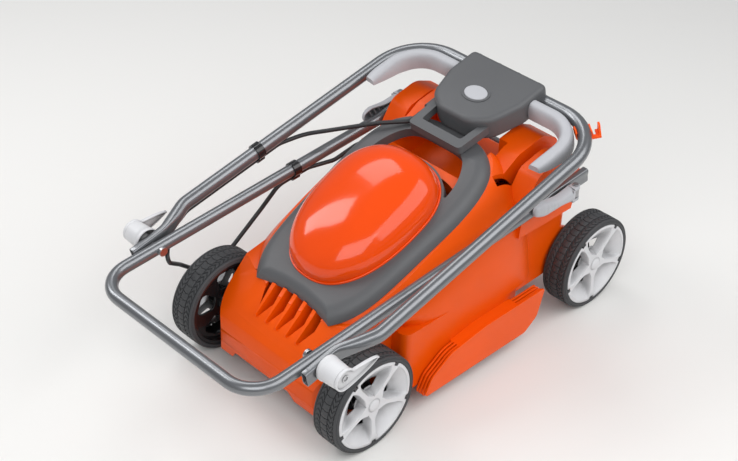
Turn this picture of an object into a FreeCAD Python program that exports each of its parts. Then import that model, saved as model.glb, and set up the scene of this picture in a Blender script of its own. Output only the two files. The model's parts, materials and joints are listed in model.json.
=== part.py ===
import FreeCAD, Part
import math
import os

os.makedirs("parts", exist_ok=True)

# Push lawn mower, folded for storage. Millimetres, +Z up, the front faces -Y and +X is
# the right-hand side seen from the front. The model is drawn about the middle of the
# wheelbase and chassis_y then puts the origin on the floor at the centre of the footprint.

# Wheels
wheel_r = 82.0
tyre_w = 48.0
track_out = 373.6
wheelbase = 516.6
tyre_in_r = 73.2
tyre_round = 7.0
wheel_gap = 0.1
rim_wall = 6.0
rim_web = 4.0
rim_hub_r = 15.0
rim_hub_l = 34.0
hub_back = 10.0
cap_t = 3.0
cap_dish = 7.0
cap_spokes = 5
cap_spoke_w = 9.0
cap_centre_r = 11.0
axle_r = 6.0
run_gap = 0.05
push_cap_r = 10.0
push_cap_t = 2.6
height_travel = 15.0

# Deck
deck_wall = 3.5
deck_low = 38.0
deck_side = 162.0
deck_front = -172.0
deck_back = 150.0
mid_top = 148.0
plate_low = 128.0
plate_top = 134.0
seam_slope = 0.45
seam_z = 280.0
hood_side = 132.0
hood_front = -313.0
hood_low = 43.0
hood_round = 56.0
nose_z = 80.0
fore_y = -288.0
fore_z = 126.0
brow_y = -249.0
brow_z = 167.0
lobe_left = -71.0
lobe_right = 47.0
lobe_low = 32.0
foot_lean = 0.22
hood_half = 80.0
hood_fall = 0.32
rear_side = 135.0
rear_end = 236.0
rear_top = 246.0
tunnel_side = 104.0
tunnel_low = 98.0
tunnel_top = 190.0
cheek_t = 10.0
cheek_end = 284.0
cheek_top = 132.0
scoops = 5
scoop_pitch = 22.5
scoop_tip = -287.0
recess_side = 76.0
recess_deep = 46.0
boss_out = 164.2
slot_gap = 0.3
flap_half = 112.0
flap_low = 106.0
flap_t = 3.0
pin_y = 245.0
pin_z = 222.0
pin_r = 4.0
lug_t = 8.0
pin_free = 12.0
pin_end_r = 3.5
screw_r = 2.0

# Blade and motor
motor_y = -36.0
chamber_r = 154.5
blade_l = 300.0
blade_w = 46.0
blade_t = 4.0
blade_z = 50.0
carrier_r = 22.0
carrier_h = 16.0
shaft_r = 8.0
blade_bolt_r = 4.0
motor_r = 50.0
stator_in = 30.5
air_gap = 0.5
stator_low = 150.0
stator_top = 195.0
bracket_t = 8.0
bearing_r = 16.0
bearing_w = 9.0
post_r = 4.0
post_at = 58.0
fan_r = 44.0
fan_h = 12.0
capacitor_r = 17.0
capacitor_l = 62.0

# Cowl and motor cover, drawn flat and tilted by the seam's slope
cowl_wall = 3.0
ledge_w = 3.5
carry_top = 323.0
comb_out = 186.0
comb_t = 3.0
fin_t = 3.0
cowl_rise = 18.0
dome_mid = -84.0
dome_front = 157.0
dome_back = 104.0
dome_half = 96.0
dome_rise = 58.0
dome_plan = 2.35
dome_full = 2.5
dome_wall = 2.6
dome_seat = 15.0
fit_gap = 0.2
seat_gap = 0.05

# Handles
lower_r = 10.0
upper_r = 11.0
tube_wall = 1.5
lower_x = 172.0
lower_slope = 0.0815
lower_mid_z = 257.5
lower_bend = 51.0
lower_front = -480.0
lower_back = 212.0
pivot_y = 165.0
knob_y = -369.0
upper_bar_z = 366.0
upper_bar = 209.0
upper_bend = 85.0
upper_x = 204.0
flat_half = 6.5
flat_r = 12.5
bolt_r = 4.0
ear_out = 158.0
ear_in = 120.0
ear_r = 46.0
hump_out = 108.0
hump_in = 58.0

# Controls
box_half = 78.0
box_front = -126.0
box_back = 12.0
box_low = -14.0
box_seam = 4.0
box_top = 27.0
box_wall = 2.5
lever_w = 24.0
lever_h = 28.0
lever_low = -8.0
lever_gap = 4.0
lever_wall = 3.0
lever_round = 8.0
lever_angle = 9.0
button_a = 21.0
button_b = 16.0
button_travel = 4.0
bail_front = -171.0
knob_r = 20.0
knob_l = 30.0
wing_l = 64.0
wing_t = 9.5
cam_len = 92.0
cam_t = 15.0
cam_h = 26.0

# Lead
lead_r = 3.5
clip_t = 14.0
upper_clip_y = -137.0
lower_clip_y = -94.0

wheel_x = track_out / 2 - tyre_w / 2
axle_y = wheelbase / 2
front_most = lower_front - lower_r
rear_most = axle_y + wheel_r
chassis_y = -(front_most + rear_most) / 2
tilt = math.degrees(math.atan(seam_slope))
lower_tilt = math.degrees(math.atan(lower_slope))
pivot_z = lower_mid_z + lower_slope * pivot_y
knob_z = lower_mid_z + lower_slope * knob_y
upper_slope = (upper_bar_z - knob_z) / (upper_bar - knob_y)
upper_tilt = math.degrees(math.atan(upper_slope))
lead_turn = FreeCAD.Vector(-206, -322, 213)
lead_join = FreeCAD.Vector(-178.2, -347, 206)
gland_from = FreeCAD.Vector(-149, 22, 257)
gland_to = FreeCAD.Vector(-130, 62, 266)
X = FreeCAD.Vector(1, 0, 0)
Y = FreeCAD.Vector(0, 1, 0)
Z = FreeCAD.Vector(0, 0, 1)
nodes = {}


def vec(x, y, z):
    return FreeCAD.Vector(x, y, z)


def box(x0, x1, y0, y1, z0, z1):
    return Part.makeBox(x1 - x0, y1 - y0, z1 - z0, vec(x0, y0, z0))


def rod(r, p, axis, length):
    return Part.makeCylinder(r, length, p, axis)


def ring(r_out, r_in, p, axis, length):
    return rod(r_out, p, axis, length).cut(rod(r_in, p, axis, length))


def fuse(shapes):
    body = shapes[0].multiFuse(shapes[1:]) if len(shapes) > 1 else shapes[0]
    return body.removeSplitter()


def mirrored(shape):
    return shape.mirror(vec(0, 0, 0), X)


def both(shape):
    return [shape, mirrored(shape)]


def rounded_wire(points, radii):
    """Closed wire through the points, each corner turned by an arc of its radius."""
    count = len(points)
    cuts = []
    for i, corner in enumerate(points):
        before = (points[i - 1] - corner).normalize()
        after = (points[(i + 1) % count] - corner).normalize()
        radius = radii[i]
        half = before.getAngle(after) / 2
        if radius <= 0:
            cuts.append((corner, corner, None))
            continue
        run = radius / math.tan(half)
        middle = (before + after).normalize()
        top = corner + middle * (radius / math.sin(half) - radius)
        cuts.append((corner + before * run, corner + after * run, top))
    edges = []
    for i, (start, end, top) in enumerate(cuts):
        if top is not None:
            edges.append(Part.Arc(start, top, end).toShape())
        following = cuts[(i + 1) % count][0]
        if end.distanceToPoint(following) > 1e-6:
            edges.append(Part.makeLine(end, following))
    return Part.Wire(Part.__sortEdges__(edges))


def side_prism(outline, radii, x0, x1):
    """A side view (y, z) drawn across the machine from x0 to x1."""
    wire = rounded_wire([vec(x0, y, z) for y, z in outline], radii)
    return Part.Face(wire).extrude(vec(x1 - x0, 0, 0))


def plan_prism(outline, radii, z0, z1):
    """A plan view (x, y) drawn upwards from z0 to z1."""
    wire = rounded_wire([vec(x, y, z0) for x, y in outline], radii)
    return Part.Face(wire).extrude(vec(0, 0, z1 - z0))


def oval(a, y0, y1, z, power, count=28):
    """Closed curve of a superellipse, half width a, from y0 to y1, at height z."""
    middle, b = (y0 + y1) / 2, (y1 - y0) / 2
    points = []
    for i in range(count):
        t = 2 * math.pi * i / count - math.pi / 2
        c, s = math.cos(t), math.sin(t)
        px = a * math.copysign(abs(c) ** (2 / power), c)
        py = middle + b * math.copysign(abs(s) ** (2 / power), s)
        points.append(vec(px, py, z))
    curve = Part.BSplineCurve()
    curve.interpolate(points, PeriodicFlag=True)
    return Part.Wire(curve.toShape())


def loft(wires):
    return Part.makeLoft(wires, True, False)


def leaned(shape):
    """From the flat drawing of the cowl to its place on the sloping seam."""
    turned = shape.copy()
    turned.rotate(vec(0, 0, 0), X, tilt)
    turned.translate(vec(0, 0, seam_z))
    return turned


def on_upper(shape):
    """From the flat drawing of the handlebar to its place on the upper handle."""
    turned = shape.copy()
    turned.rotate(vec(0, 0, 0), X, upper_tilt)
    turned.translate(vec(0, upper_bar, upper_bar_z))
    return turned


def on_lower(shape):
    """From the flat drawing of the lower handle to its place, with its zero at the pivot."""
    turned = shape.copy()
    turned.rotate(vec(0, 0, 0), X, lower_tilt)
    turned.translate(vec(0, pivot_y, pivot_z))
    return turned


def tipped_wire(wire, slope, z):
    turned = wire.copy()
    turned.rotate(vec(0, 0, 0), X, math.degrees(math.atan(slope)))
    turned.translate(vec(0, 0, z))
    return Part.Wire(turned.Edges)


def leaned_wire(wire):
    return Part.Wire(leaned(wire).Edges)


def tube_path(points, radii):
    """Open wire of straight runs joined by tangent arcs at the inner points."""
    edges = []
    at = points[0]
    for i in range(1, len(points) - 1):
        corner = points[i]
        before = (points[i - 1] - corner).normalize()
        after = (points[i + 1] - corner).normalize()
        half = before.getAngle(after) / 2
        radius = radii[i - 1]
        run = radius / math.tan(half)
        start, end = corner + before * run, corner + after * run
        top = corner + (before + after).normalize() * (radius / math.sin(half) - radius)
        edges.append(Part.makeLine(at, start))
        edges.append(Part.Arc(start, top, end).toShape())
        at = end
    edges.append(Part.makeLine(at, points[-1]))
    return Part.Wire(edges)


def sweep(path, radius):
    start = path.Edges[0]
    p = start.valueAt(start.FirstParameter)
    d = start.tangentAt(start.FirstParameter)
    profile = Part.Wire(Part.makeCircle(radius, p, d))
    return path.makePipeShell([profile], True, False)


def add(name, *solids):
    nodes[name] = solids


# ---- wheels -----------------------------------------------------------------------

def make_tyre():
    half = tyre_w / 2
    outline = [vec(-half, 0, tyre_in_r), vec(half, 0, tyre_in_r),
               vec(half, 0, wheel_r), vec(-half, 0, wheel_r)]
    face = Part.Face(rounded_wire(outline, [0, 0, tyre_round, tyre_round]))
    return face.revolve(vec(0, 0, 0), X, 360)


def make_rim():
    half = tyre_w / 2
    out = tyre_in_r - wheel_gap
    barrel = ring(out, out - rim_wall, vec(-half + 2, 0, 0), X, tyre_w - 2 - cap_t - 1)
    web = rod(out - rim_wall + 0.5, vec(-half + 9, 0, 0), X, rim_web)
    hub = rod(rim_hub_r, vec(half - hub_back - rim_hub_l, 0, 0), X, rim_hub_l)
    rim = fuse([barrel, web, hub])
    window = Part.Face(rounded_wire(
        [vec(-half, -11, 26), vec(-half, 11, 26), vec(-half, 21, 58), vec(-half, -21, 58)],
        [8, 8, 9, 9])).extrude(vec(rim_web + 12, 0, 0))
    for i in range(cap_spokes):
        copy = window.copy()
        copy.rotate(vec(0, 0, 0), X, 360 / cap_spokes * i)
        rim = rim.cut(copy)
    return rim.cut(rod(axle_r + run_gap, vec(-half - 20, 0, 0), X, tyre_w + 40))


def make_hubcap():
    half = tyre_w / 2
    r = tyre_in_r - 2 * wheel_gap
    low = half - cap_t
    outline = [vec(low - 0.9, 0, r), vec(half, 0, r), vec(half, 0, r - 7),
               vec(half - cap_dish, 0, r - 20), vec(half - cap_dish, 0, cap_centre_r + 5),
               vec(half - 1, 0, cap_centre_r), vec(half - 1, 0, 0.01),
               vec(half - 3.4, 0, 0.01), vec(half - 3.4, 0, cap_centre_r - 2),
               vec(low - cap_dish + 0.6, 0, cap_centre_r + 4), vec(low - cap_dish + 0.6, 0, r - 21),
               vec(low - 0.9, 0, r - 6)]
    dish = Part.Face(Part.makePolygon(outline + outline[:1])).revolve(vec(0, 0, 0), X, 360)
    spokes = []
    for i in range(cap_spokes):
        spoke = box(half - cap_dish - 0.5, half - 0.6, -cap_spoke_w / 2, cap_spoke_w / 2, 13, r - 7.5)
        spoke.rotate(vec(0, 0, 0), X, 360 / cap_spokes * i + 180 / cap_spokes)
        spokes.append(spoke)
    plug = rod(cap_centre_r - 1, vec(half - 3.4, 0, 0), X, 3.0)
    return fuse([dish, plug] + spokes)


def place_wheel(shape, side, y):
    placed = shape.copy() if side > 0 else mirrored(shape)
    placed.translate(vec(side * wheel_x, y, wheel_r))
    return placed


tyre, rim, hubcap = make_tyre(), make_rim(), make_hubcap()
for end, y in (("front", -axle_y), ("rear", axle_y)):
    for side_name, side in (("left", -1), ("right", 1)):
        add(f"{end}_{side_name}_tyre", place_wheel(tyre, side, y))
        add(f"{end}_{side_name}_wheel", place_wheel(rim, side, y))
        add(f"{end}_{side_name}_hubcap", place_wheel(hubcap, side, y))
    hub_out = wheel_x + tyre_w / 2 - hub_back
    reach = hub_out + 0.3 + push_cap_t
    axle = rod(axle_r, vec(-reach, y, wheel_r), X, 2 * reach)
    add(f"{end}_axle", axle)
    cap = ring(push_cap_r, axle_r, vec(hub_out + 0.3, y, wheel_r), X, push_cap_t)
    add(f"{end}_axle_caps", *both(cap))

# ---- deck -------------------------------------------------------------------------

def seam_at(y):
    return seam_z + seam_slope * y


def brow_at(y):
    """Height of the hood's sloping face."""
    return brow_z + (y - brow_y) * (brow_z - fore_z) / (brow_y - fore_y)


def hood_flank(side, t):
    """What lies above the facet that falls away to the side of the hood's sloping face."""
    normal = vec(side * hood_fall, -(brow_z - fore_z) / (brow_y - fore_y), 1)
    above = Part.makeBox(600, 600, 300, vec(-300, -300, 0))
    above.Placement = FreeCAD.Placement(vec(side * hood_half, brow_y, brow_z - t * normal.Length),
                                        FreeCAD.Rotation(Z, normal))
    return above


def foot_at(z):
    """How far forward the hood's lower front is at a height below its nose."""
    return hood_front + (nose_z - z) * foot_lean


def hood_lobe(x, side):
    """The hood's skirt reaching lower at one front corner, its inner end slanting."""
    high = hood_low + 8
    slab = side_prism([(-200, lobe_low), (foot_at(lobe_low), lobe_low), (foot_at(high), high), (-200, high)],
                      [4, 2, 0, 0], -hood_side, hood_side)
    corners = [(x, high), (x + side * 14, lobe_low - 1), (side * hood_side, lobe_low - 1), (side * hood_side, high)]
    front = [vec(a, -330, z) for a, z in corners + corners[:1]]
    return slab.common(Part.Face(Part.makePolygon(front)).extrude(vec(0, 140, 0)))


def deck_masses(inset):
    """The deck's outer masses, or with inset their hollow insides, open below."""
    t = inset
    low = deck_low if not t else -5
    corner = 105.0 - t
    side, front, back = deck_side - t, deck_front + t, deck_back - t
    middle = plan_prism([(-side, front), (side, front), (side, back), (-side, back)],
                        [14 - t, 14 - t, corner, corner], low, mid_top - t)
    shoulder = loft([oval(side, front, back, mid_top - 40, 6),
                     oval(side, front - 4, back, mid_top - t - 1, 5),
                     tipped_wire(oval(153 - t, -240 + t, 140 - t, 0, 4.2), 0.28, 218 - t),
                     leaned_wire(oval(126 - t, -284 + t, 112 - t, -t, 3.2))])
    hood_low_z = hood_low if not t else -5
    hood_view = side_prism([(-150, hood_low_z), (foot_at(hood_low_z + 4) + t, hood_low_z + 4), (hood_front + t, nose_z - 0.4 * t),
                            (fore_y + 0.85 * t, fore_z - 0.65 * t), (brow_y + 0.5 * t, brow_z - 0.92 * t), (-150, 186 - 1.02 * t)],
                           [0, 2, 75 - t, 80 - t, 24 - t, 0], -hood_side + t, hood_side - t)
    hood_plan = plan_prism([(-hood_side + t, hood_front - 2 + t), (hood_side - t, hood_front - 2 + t),
                            (hood_side - t, -140), (-hood_side + t, -140)],
                           [hood_round - t, hood_round - t, 0, 0], -10, 300)
    if not t:
        hood_view = fuse([hood_view, hood_lobe(lobe_left, -1), hood_lobe(lobe_right, 1)])
    hood = hood_view.common(hood_plan)
    for side in (-1, 1):
        hood = hood.cut(hood_flank(side, t))
    rear_low = 66 if not t else -5
    rear_view = side_prism([(40, rear_low), (rear_end - t, rear_low + 8), (rear_end - t, 224),
                            (214 - t, rear_top - t), (60, 262 - t), (40, 200)],
                           [0, 0, 12 - t, 14 - t, 10, 0], -rear_side + t, rear_side - t)
    rear_plan = plan_prism([(-rear_side + t, 30), (rear_side - t, 30),
                            (rear_side - t, rear_end - t), (-rear_side + t, rear_end - t)],
                           [0, 0, 26 - t, 26 - t], -10, 400)
    rear = rear_view.common(rear_plan)
    ear = side_prism([(78 + t, 205), (84 + t, 262), (112 + t, 306 - t), (pivot_y, pivot_z + ear_r + 2 - t),
                      (214 - t, 300 - t), (216 - t, 250), (206 - t, 205)],
                     [0, 20, 24, 40, 22, 14, 0], ear_in + t, ear_out - t)
    hump = side_prism([(46 + t, 250), (70 + t, 286), (120, 318 - t), (178, 330 - t), (214 - t, 312 - t),
                       (230 - t, 250), (200, 200), (60, 200)],
                      [16, 20, 24, 22, 20, 10, 0, 0], hump_in + t, hump_out - t)
    bridge = box(hump_in + t, ear_out - 2 - t, 96 + t, 206 - t, 205, 252 - t)
    return [middle, shoulder, hood, rear] + both(ear) + both(hump) + both(bridge)


def duct(t):
    """Grass duct from the blade chamber to the outlet, grown by t."""
    return side_prism([(60, 60 - t), (104, 60 - t), (196, tunnel_low - t), (rear_end + 20, tunnel_low - t),
                       (rear_end + 20, tunnel_top + t), (150, tunnel_top - 14 + t), (92, plate_low + t),
                       (60, plate_low + t)], [0, 20, 30, 0, 0, 30, 12, 0], -tunnel_side - t, tunnel_side + t)


def finger_recess(t):
    return side_prism([(30 - t, seam_at(30) + 20), (30 - t, seam_at(30) - recess_deep), (70, 256 - t),
                       (132 + t, 266 - t), (132 + t, 400)], [0, 14, 10, 4, 0], -recess_side - t, recess_side + t)


def cowl_wire(points, front, w):
    """Cowl outline at height w: a curved front lip and a curve round the sides and back."""
    side = [vec(x, v, w) for x, v in points]
    back = [vec(-x, v, w) for x, v in reversed(points) if x > 0]
    around = Part.BSplineCurve()
    around.interpolate(side + back)
    lip = Part.BSplineCurve()
    lip.interpolate([vec(-points[0][0], points[0][1], w), vec(0, front, w), vec(points[0][0], points[0][1], w)])
    return Part.Wire([around.toShape(), lip.toShape()])


cowl_foot = [(80, -279), (104, -243), (117, -180), (122, -100), (125, -30), (121, 20), (104, 66), (66, 96), (0, 106)]
cowl_crown = [(63, -257), (84, -228), (95, -170), (100, -100), (103, -35), (100, 10), (88, 50), (56, 79), (0, 88)]


def make_deck():
    t = deck_wall
    outer = fuse(deck_masses(0))
    inner = fuse(deck_masses(t))
    bay = leaned(Part.Face(oval(108, -250, 20, -12, 4)).extrude(vec(0, 0, 40)))
    shell = outer.cut(inner).cut(bay)
    chamber_wall = ring(chamber_r + t, chamber_r, vec(0, motor_y, deck_low), Z, plate_top - deck_low)
    plate = rod(chamber_r + t, vec(0, motor_y, plate_low), Z, plate_top - plate_low)
    inside = fuse([chamber_wall, plate, duct(t), finger_recess(t)])
    ribs = [box(-2, 2, hood_front + 2, motor_y - chamber_r - 1, 100, 150)]
    ribs += both(box(70, 74, hood_front + 6, motor_y - chamber_r + 16, 100, 150))
    ribs += both(box(108, 112, 112, rear_end - 2, 90, 236))
    for y in (-120.0, 40.0):
        ribs += both(box(chamber_r - 12, deck_side - 1, y - 1.5, y + 1.5, 60, 140))
    posts = [rod(9, vec(x, motor_y + y, plate_top - 1), Z, 3) for x, y in post_places()]
    deck = shell.multiFuse([inside.common(outer)] + [rib.common(outer) for rib in ribs] + posts)
    lug = side_prism([(220, 200), (pin_y + 9, 205), (pin_y + 9, pin_z + 9), (220, pin_z + 9)],
                     [0, 6, 8, 0], flap_half + 1.0, flap_half + 1.0 + lug_t)
    cheek = side_prism([(200, 56), (cheek_end, 56), (cheek_end, cheek_top - 20), (250, cheek_top),
                        (200, cheek_top + 30)], [0, 16, 18, 14, 0], rear_side - cheek_t, rear_side)
    boss = rod(15, vec(ear_out - 1, pivot_y, pivot_z), X, boss_out - ear_out + 1)
    sleeve = rod(9, vec(ear_in, pivot_y, pivot_z), X, ear_out - ear_in)
    gland_dir = (gland_to - gland_from).normalize()
    snout = rod(7, gland_from + gland_dir * 12, gland_dir, 32)
    extras = both(lug) + both(cheek) + both(boss) + both(sleeve) + [snout]
    deck = deck.multiFuse(extras)
    cuts = [rod(chamber_r, vec(0, motor_y, -5), Z, plate_low + 5), duct(0), finger_recess(0)]
    cuts += [rod(shaft_r + 2, vec(0, motor_y, plate_low - 5), Z, 20)]
    cuts.append(leaned(Part.Face(cowl_wire(cowl_foot, -268, 0)).extrude(vec(0, 0, 40))))
    cuts += both(box(hump_out, ear_in, 60, 240, 252, 400))
    cuts += [rod(post_r, vec(x, motor_y + y, plate_low - 5), Z, 20) for x, y in post_places()]
    cuts += [rod(pin_r, vec(-200, pin_y, pin_z), X, 400)]
    for x, v in screw_places():
        cuts.append(leaned(rod(screw_r + 0.2, vec(x, v, -8), Z, 16)))
    half = scoops * scoop_pitch / 2 + 6
    pockets = side_prism([(scoop_tip - 3, 127), (-262, 129), (-238, 134), (-238, 200), (scoop_tip - 3, 200)],
                         [0, 8, 0, 0, 0], -half, half)
    for x in scoop_places():
        wedge = plan_prism([(x + 1.2, scoop_tip - 1), (x + 19.5, -262), (x + 20.5, -238), (x + 2.5, -238)],
                           [1, 3, 0, 0], 100, 210)
        cuts.append(pockets.common(wedge))
    cuts.append(pockets.common(plan_prism([(scoop_places()[0] - 1.2, scoop_tip + 4), (scoop_places()[0] - 2.5, -238),
                                           (scoop_places()[0] - 14, -238), (scoop_places()[0] - 13, -256)],
                                          [1, 0, 0, 3], 100, 210)))
    slot_r = axle_r + slot_gap
    for y in (-axle_y, axle_y):
        cuts.append(rod(slot_r, vec(-200, y, wheel_r - height_travel), X, 400))
        cuts.append(rod(slot_r, vec(-200, y, wheel_r + height_travel), X, 400))
        cuts.append(box(-200, 200, y - slot_r, y + slot_r, wheel_r - height_travel, wheel_r + height_travel))
    cuts.append(rod(bolt_r + run_gap, vec(-200, pivot_y, pivot_z), X, 400))
    cuts.append(rod(lead_r, gland_from, gland_dir, 60))
    for cut in cuts:
        deck = deck.cut(cut)
    outer = fuse(deck_masses(0))
    floor = side_prism([(scoop_tip - 4, 124), (-262, 126), (-236, 131), (-236, 134.5), (-262, 129.5),
                        (scoop_tip - 4, 127.5)], [0, 8, 0, 0, 8, 0], -half, half).common(outer)
    gill_view = side_prism([(scoop_tip + 1, 125.5), (scoop_tip - 1.5, brow_at(scoop_tip) + 5),
                            (scoop_tip + 8, brow_at(scoop_tip + 8) + 6), (-246, 175), (-237, 178), (-237, 132),
                            (-262, 127.5)], [2, 2, 8, 6, 0, 0, 8], -half, half)
    gills = []
    for x in scoop_places():
        gills.append(gill_view.common(plan_prism(
            [(x - 3.6, -230), (x - 3.6, -258), (x - 0.8, scoop_tip - 3), (x + 0.8, scoop_tip - 3), (x + 3.6, -258),
             (x + 3.6, -230)], [0, 40, 0.7, 0.7, 40, 0], 100, 210)))
    deck = deck.multiFuse([floor] + gills)
    deck = deck.cut(leaned(Part.Face(cowl_wire(cowl_foot, -268, 0)).extrude(vec(0, 0, 40))))
    return deck.Solids[0]


def scoop_places():
    return [(i - (scoops - 1) / 2) * scoop_pitch for i in range(scoops)]


def post_places():
    return [(post_at * math.cos(a), post_at * math.sin(a)) for a in (math.pi / 4 + i * math.pi / 2 for i in range(4))]


def screw_places():
    return [(side * x, v) for side in (-1, 1) for x, v in ((115.5, -130.0), (117.0, 0.0), (78.0, -262.0))]


deck = make_deck()
add("deck_shell", deck)

# ---- side combs -------------------------------------------------------------------

def make_comb():
    outline = [(-150, 31), (-134, 62), (-94, 88), (-20, 99), (126, 101), (112, 50), (84, 31)]
    radii = [5, 24, 46, 120, 5, 20, 14]
    low = [(y, z - fin_t) for y, z in outline]
    plate = side_prism(outline, radii, comb_out - comb_t, comb_out)
    fins = [side_prism(low, radii, deck_side + fin_t + 2 * fin_t * i, deck_side + 2 * fin_t + 2 * fin_t * i)
            for i in range(3)]
    body = side_prism(low, radii, deck_side, comb_out - comb_t).common(box(deck_side, comb_out, -72, 64, 0, 200))
    window = box(deck_side + 5, comb_out - 4, -62, 62, 20, 74)
    return fuse([plate, body] + fins).cut(window)


comb = make_comb()
add("side_comb_left", mirrored(comb))
add("side_comb_right", comb)

# ---- cowl and motor cover ---------------------------------------------------------

def inset(points, t):
    return [(x - t if x > 0 else 0, v + t if v < -60 else v - t) for x, v in points]


def egg(grow, w, scale=1.0):
    """Plan of the motor cover at height w, long to the front and short to the back."""
    points = []
    for i in range(40):
        t = 2 * math.pi * i / 40 - math.pi / 2
        c, n = math.cos(t), math.sin(t)
        length = (dome_front if n < 0 else dome_back) + grow
        x = scale * (dome_half + grow) * math.copysign(abs(c) ** (2 / dome_plan), c)
        v = scale * length * math.copysign(abs(n) ** (2 / dome_plan), n)
        points.append(vec(x, dome_mid + v, w))
    curve = Part.BSplineCurve()
    curve.interpolate(points, PeriodicFlag=True)
    return Part.Wire(curve.toShape())


def egg_block(grow, w0, w1):
    return Part.Face(egg(grow, w0)).extrude(vec(0, 0, w1 - w0))


def finger_hole(grow, w0, w1):
    points = [(86, -14), (84, 8), (76, 32), (58, 57), (0, 66)]
    wire = cowl_wire([(x + grow if x else 0, v + grow) for x, v in points], -14, w0)
    return Part.Face(wire).extrude(vec(0, 0, w1 - w0)).cut(egg_block(ledge_w - grow, w0 - 1, w1 + 1))


def from_level(z):
    """Everything above the level z at the rear of the machine, in the cowl's flat drawing."""
    above = box(-200, 200, 20, 300, z, z + 200)
    above.translate(vec(0, 0, -seam_z))
    above.rotate(vec(0, 0, 0), X, -tilt)
    return above


def between(low, high):
    """Plan points a third of the way from one outline to the next."""
    return [(a + (c - a) * 0.36, b + (d - b) * 0.36) for (a, b), (c, d) in zip(low, high)]


def make_cowl():
    top = cowl_rise
    outer = loft([cowl_wire(cowl_foot, -268, 0), cowl_wire(between(cowl_foot, cowl_crown), -261.5, 0.66 * top),
                  cowl_wire(cowl_crown, -250, top)])
    t = cowl_wall
    outer = outer.cut(from_level(carry_top))
    inner = loft([cowl_wire(inset(cowl_foot, t), -265, -0.5),
                  cowl_wire(inset(between(cowl_foot, cowl_crown), t), -258.5, 0.66 * (top - t)),
                  cowl_wire(inset(cowl_crown, t), -247, top - t)])
    inner = inner.cut(from_level(carry_top - t))
    cowl = outer.cut(inner)
    rim = egg_block(ledge_w, dome_seat - 3, top).cut(egg_block(-4, dome_seat - 4, top + 1))
    skirt = finger_hole(3, 0, top).cut(finger_hole(0, -1, top + 1))
    bosses = []
    for x, v in screw_places():
        bosses.append(rod(4.2, vec(x, v, 0), Z, 7))
    ribs = [box(x - 1.5, x + 1.5, 58, 100, 4, top) for x in (-36, -18, 0, 18, 36)]
    extra = [shape.common(outer) for shape in [rim, skirt] + bosses + ribs]
    cowl = cowl.multiFuse(extra)
    cowl = cowl.cut(egg_block(fit_gap, dome_seat, top + 5)).cut(finger_hole(0, -5, top + 5))
    for x, v in screw_places():
        cowl = cowl.cut(rod(screw_r, vec(x, v, -1), Z, 5))
    return leaned(cowl).Solids[0]


def egg_dome(grow, rise, w):
    """Domed solid on the egg plan, its sides upright at height w and its top flattened."""
    wires = []
    for a in (0, 14, 28, 42, 55, 67, 77, 85):
        c, n = math.cos(math.radians(a)), math.sin(math.radians(a))
        wires.append(egg(grow, w + rise * n ** (2 / dome_full), c ** (2 / dome_full)))
    return loft(wires)


def make_dome():
    rise = dome_rise
    rim = egg_block(0, dome_seat, dome_seat + 6)
    outer = egg_dome(-2.5, rise, dome_seat + 3).fuse(rim)
    inner = egg_dome(-2.5 - dome_wall, rise - dome_wall, dome_seat + 3)
    inner = inner.fuse(egg_block(-2.5 - dome_wall, dome_seat - 1, dome_seat + 3.01))
    return leaned(outer.cut(inner)).Solids[0]


add("top_cowl", make_cowl())
add("motor_cover", make_dome())

screws = []
for x, v in screw_places():
    screw = fuse([rod(screw_r, vec(x, v, -deck_wall), Z, deck_wall + 4),
                  rod(3.6, vec(x, v, -deck_wall - 2.4), Z, 2.4)])
    screws.append(leaned(screw))
add("cowl_screws", *screws)

# ---- motor and blade --------------------------------------------------------------

def at_motor(shape, z):
    shape.translate(vec(0, motor_y, z))
    return shape


def bracket(low, high, cup_low, cup_high, pocket):
    """End bracket: a plate, a short cup that holds the core, a bearing boss and four feet."""
    base = rod(motor_r, vec(0, 0, low), Z, high - low)
    cup = ring(motor_r, motor_r - 4, vec(0, 0, cup_low), Z, cup_high - cup_low)
    boss = rod(bearing_r + 4, vec(0, 0, pocket - 1), Z, bearing_w + 2)
    feet = [rod(8, vec(x, y, low), Z, high - low) for x, y in post_places()]
    arms = []
    for i in range(4):
        arm = box(0, post_at, -6, 6, low, high)
        arm.rotate(vec(0, 0, 0), Z, 45 + 90 * i)
        arms.append(arm)
    body = fuse([base, cup, boss] + feet + arms)
    body = body.cut(rod(bearing_r, vec(0, 0, pocket), Z, bearing_w))
    body = body.cut(rod(bearing_r - 4, vec(0, 0, low - 20), Z, high - low + 40))
    for x, y in post_places():
        body = body.cut(rod(post_r, vec(x, y, low - 1), Z, high - low + 2))
    return body


low_plate = plate_top + 2
low_pocket = low_plate + 1.5
high_plate = stator_top + 8
high_pocket = high_plate - 3.5
add("motor_lower_bracket", at_motor(bracket(low_plate, low_plate + bracket_t, low_plate + bracket_t, stator_low,
                                            low_pocket), 0))
add("motor_upper_bracket", at_motor(bracket(high_plate, high_plate + bracket_t, stator_top, high_plate,
                                            high_pocket), 0))
core = ring(motor_r, stator_in, vec(0, 0, stator_low), Z, stator_top - stator_low)
for i in range(24):
    slot = box(stator_in - 1, 40, -1.5, 1.5, stator_low, stator_top)
    slot.rotate(vec(0, 0, 0), Z, 15 * i)
    core = core.cut(slot)
add("stator_core", at_motor(core, 0))
coil = [ring(45.5, 33, vec(0, 0, stator_low - 5.5), Z, 5.5), ring(45.5, 33, vec(0, 0, stator_top), Z, 5.5)]
for i in range(24):
    bar = box(33, 40, -1.5, 1.5, stator_low - 0.5, stator_top + 0.5)
    bar.rotate(vec(0, 0, 0), Z, 15 * i)
    coil.append(bar)
add("stator_windings", at_motor(fuse(coil), 0))
add("motor_bearings",
    at_motor(ring(bearing_r, shaft_r + run_gap, vec(0, 0, low_pocket), Z, bearing_w), 0),
    at_motor(ring(bearing_r, shaft_r + run_gap, vec(0, 0, high_pocket), Z, bearing_w), 0))
posts = []
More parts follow.
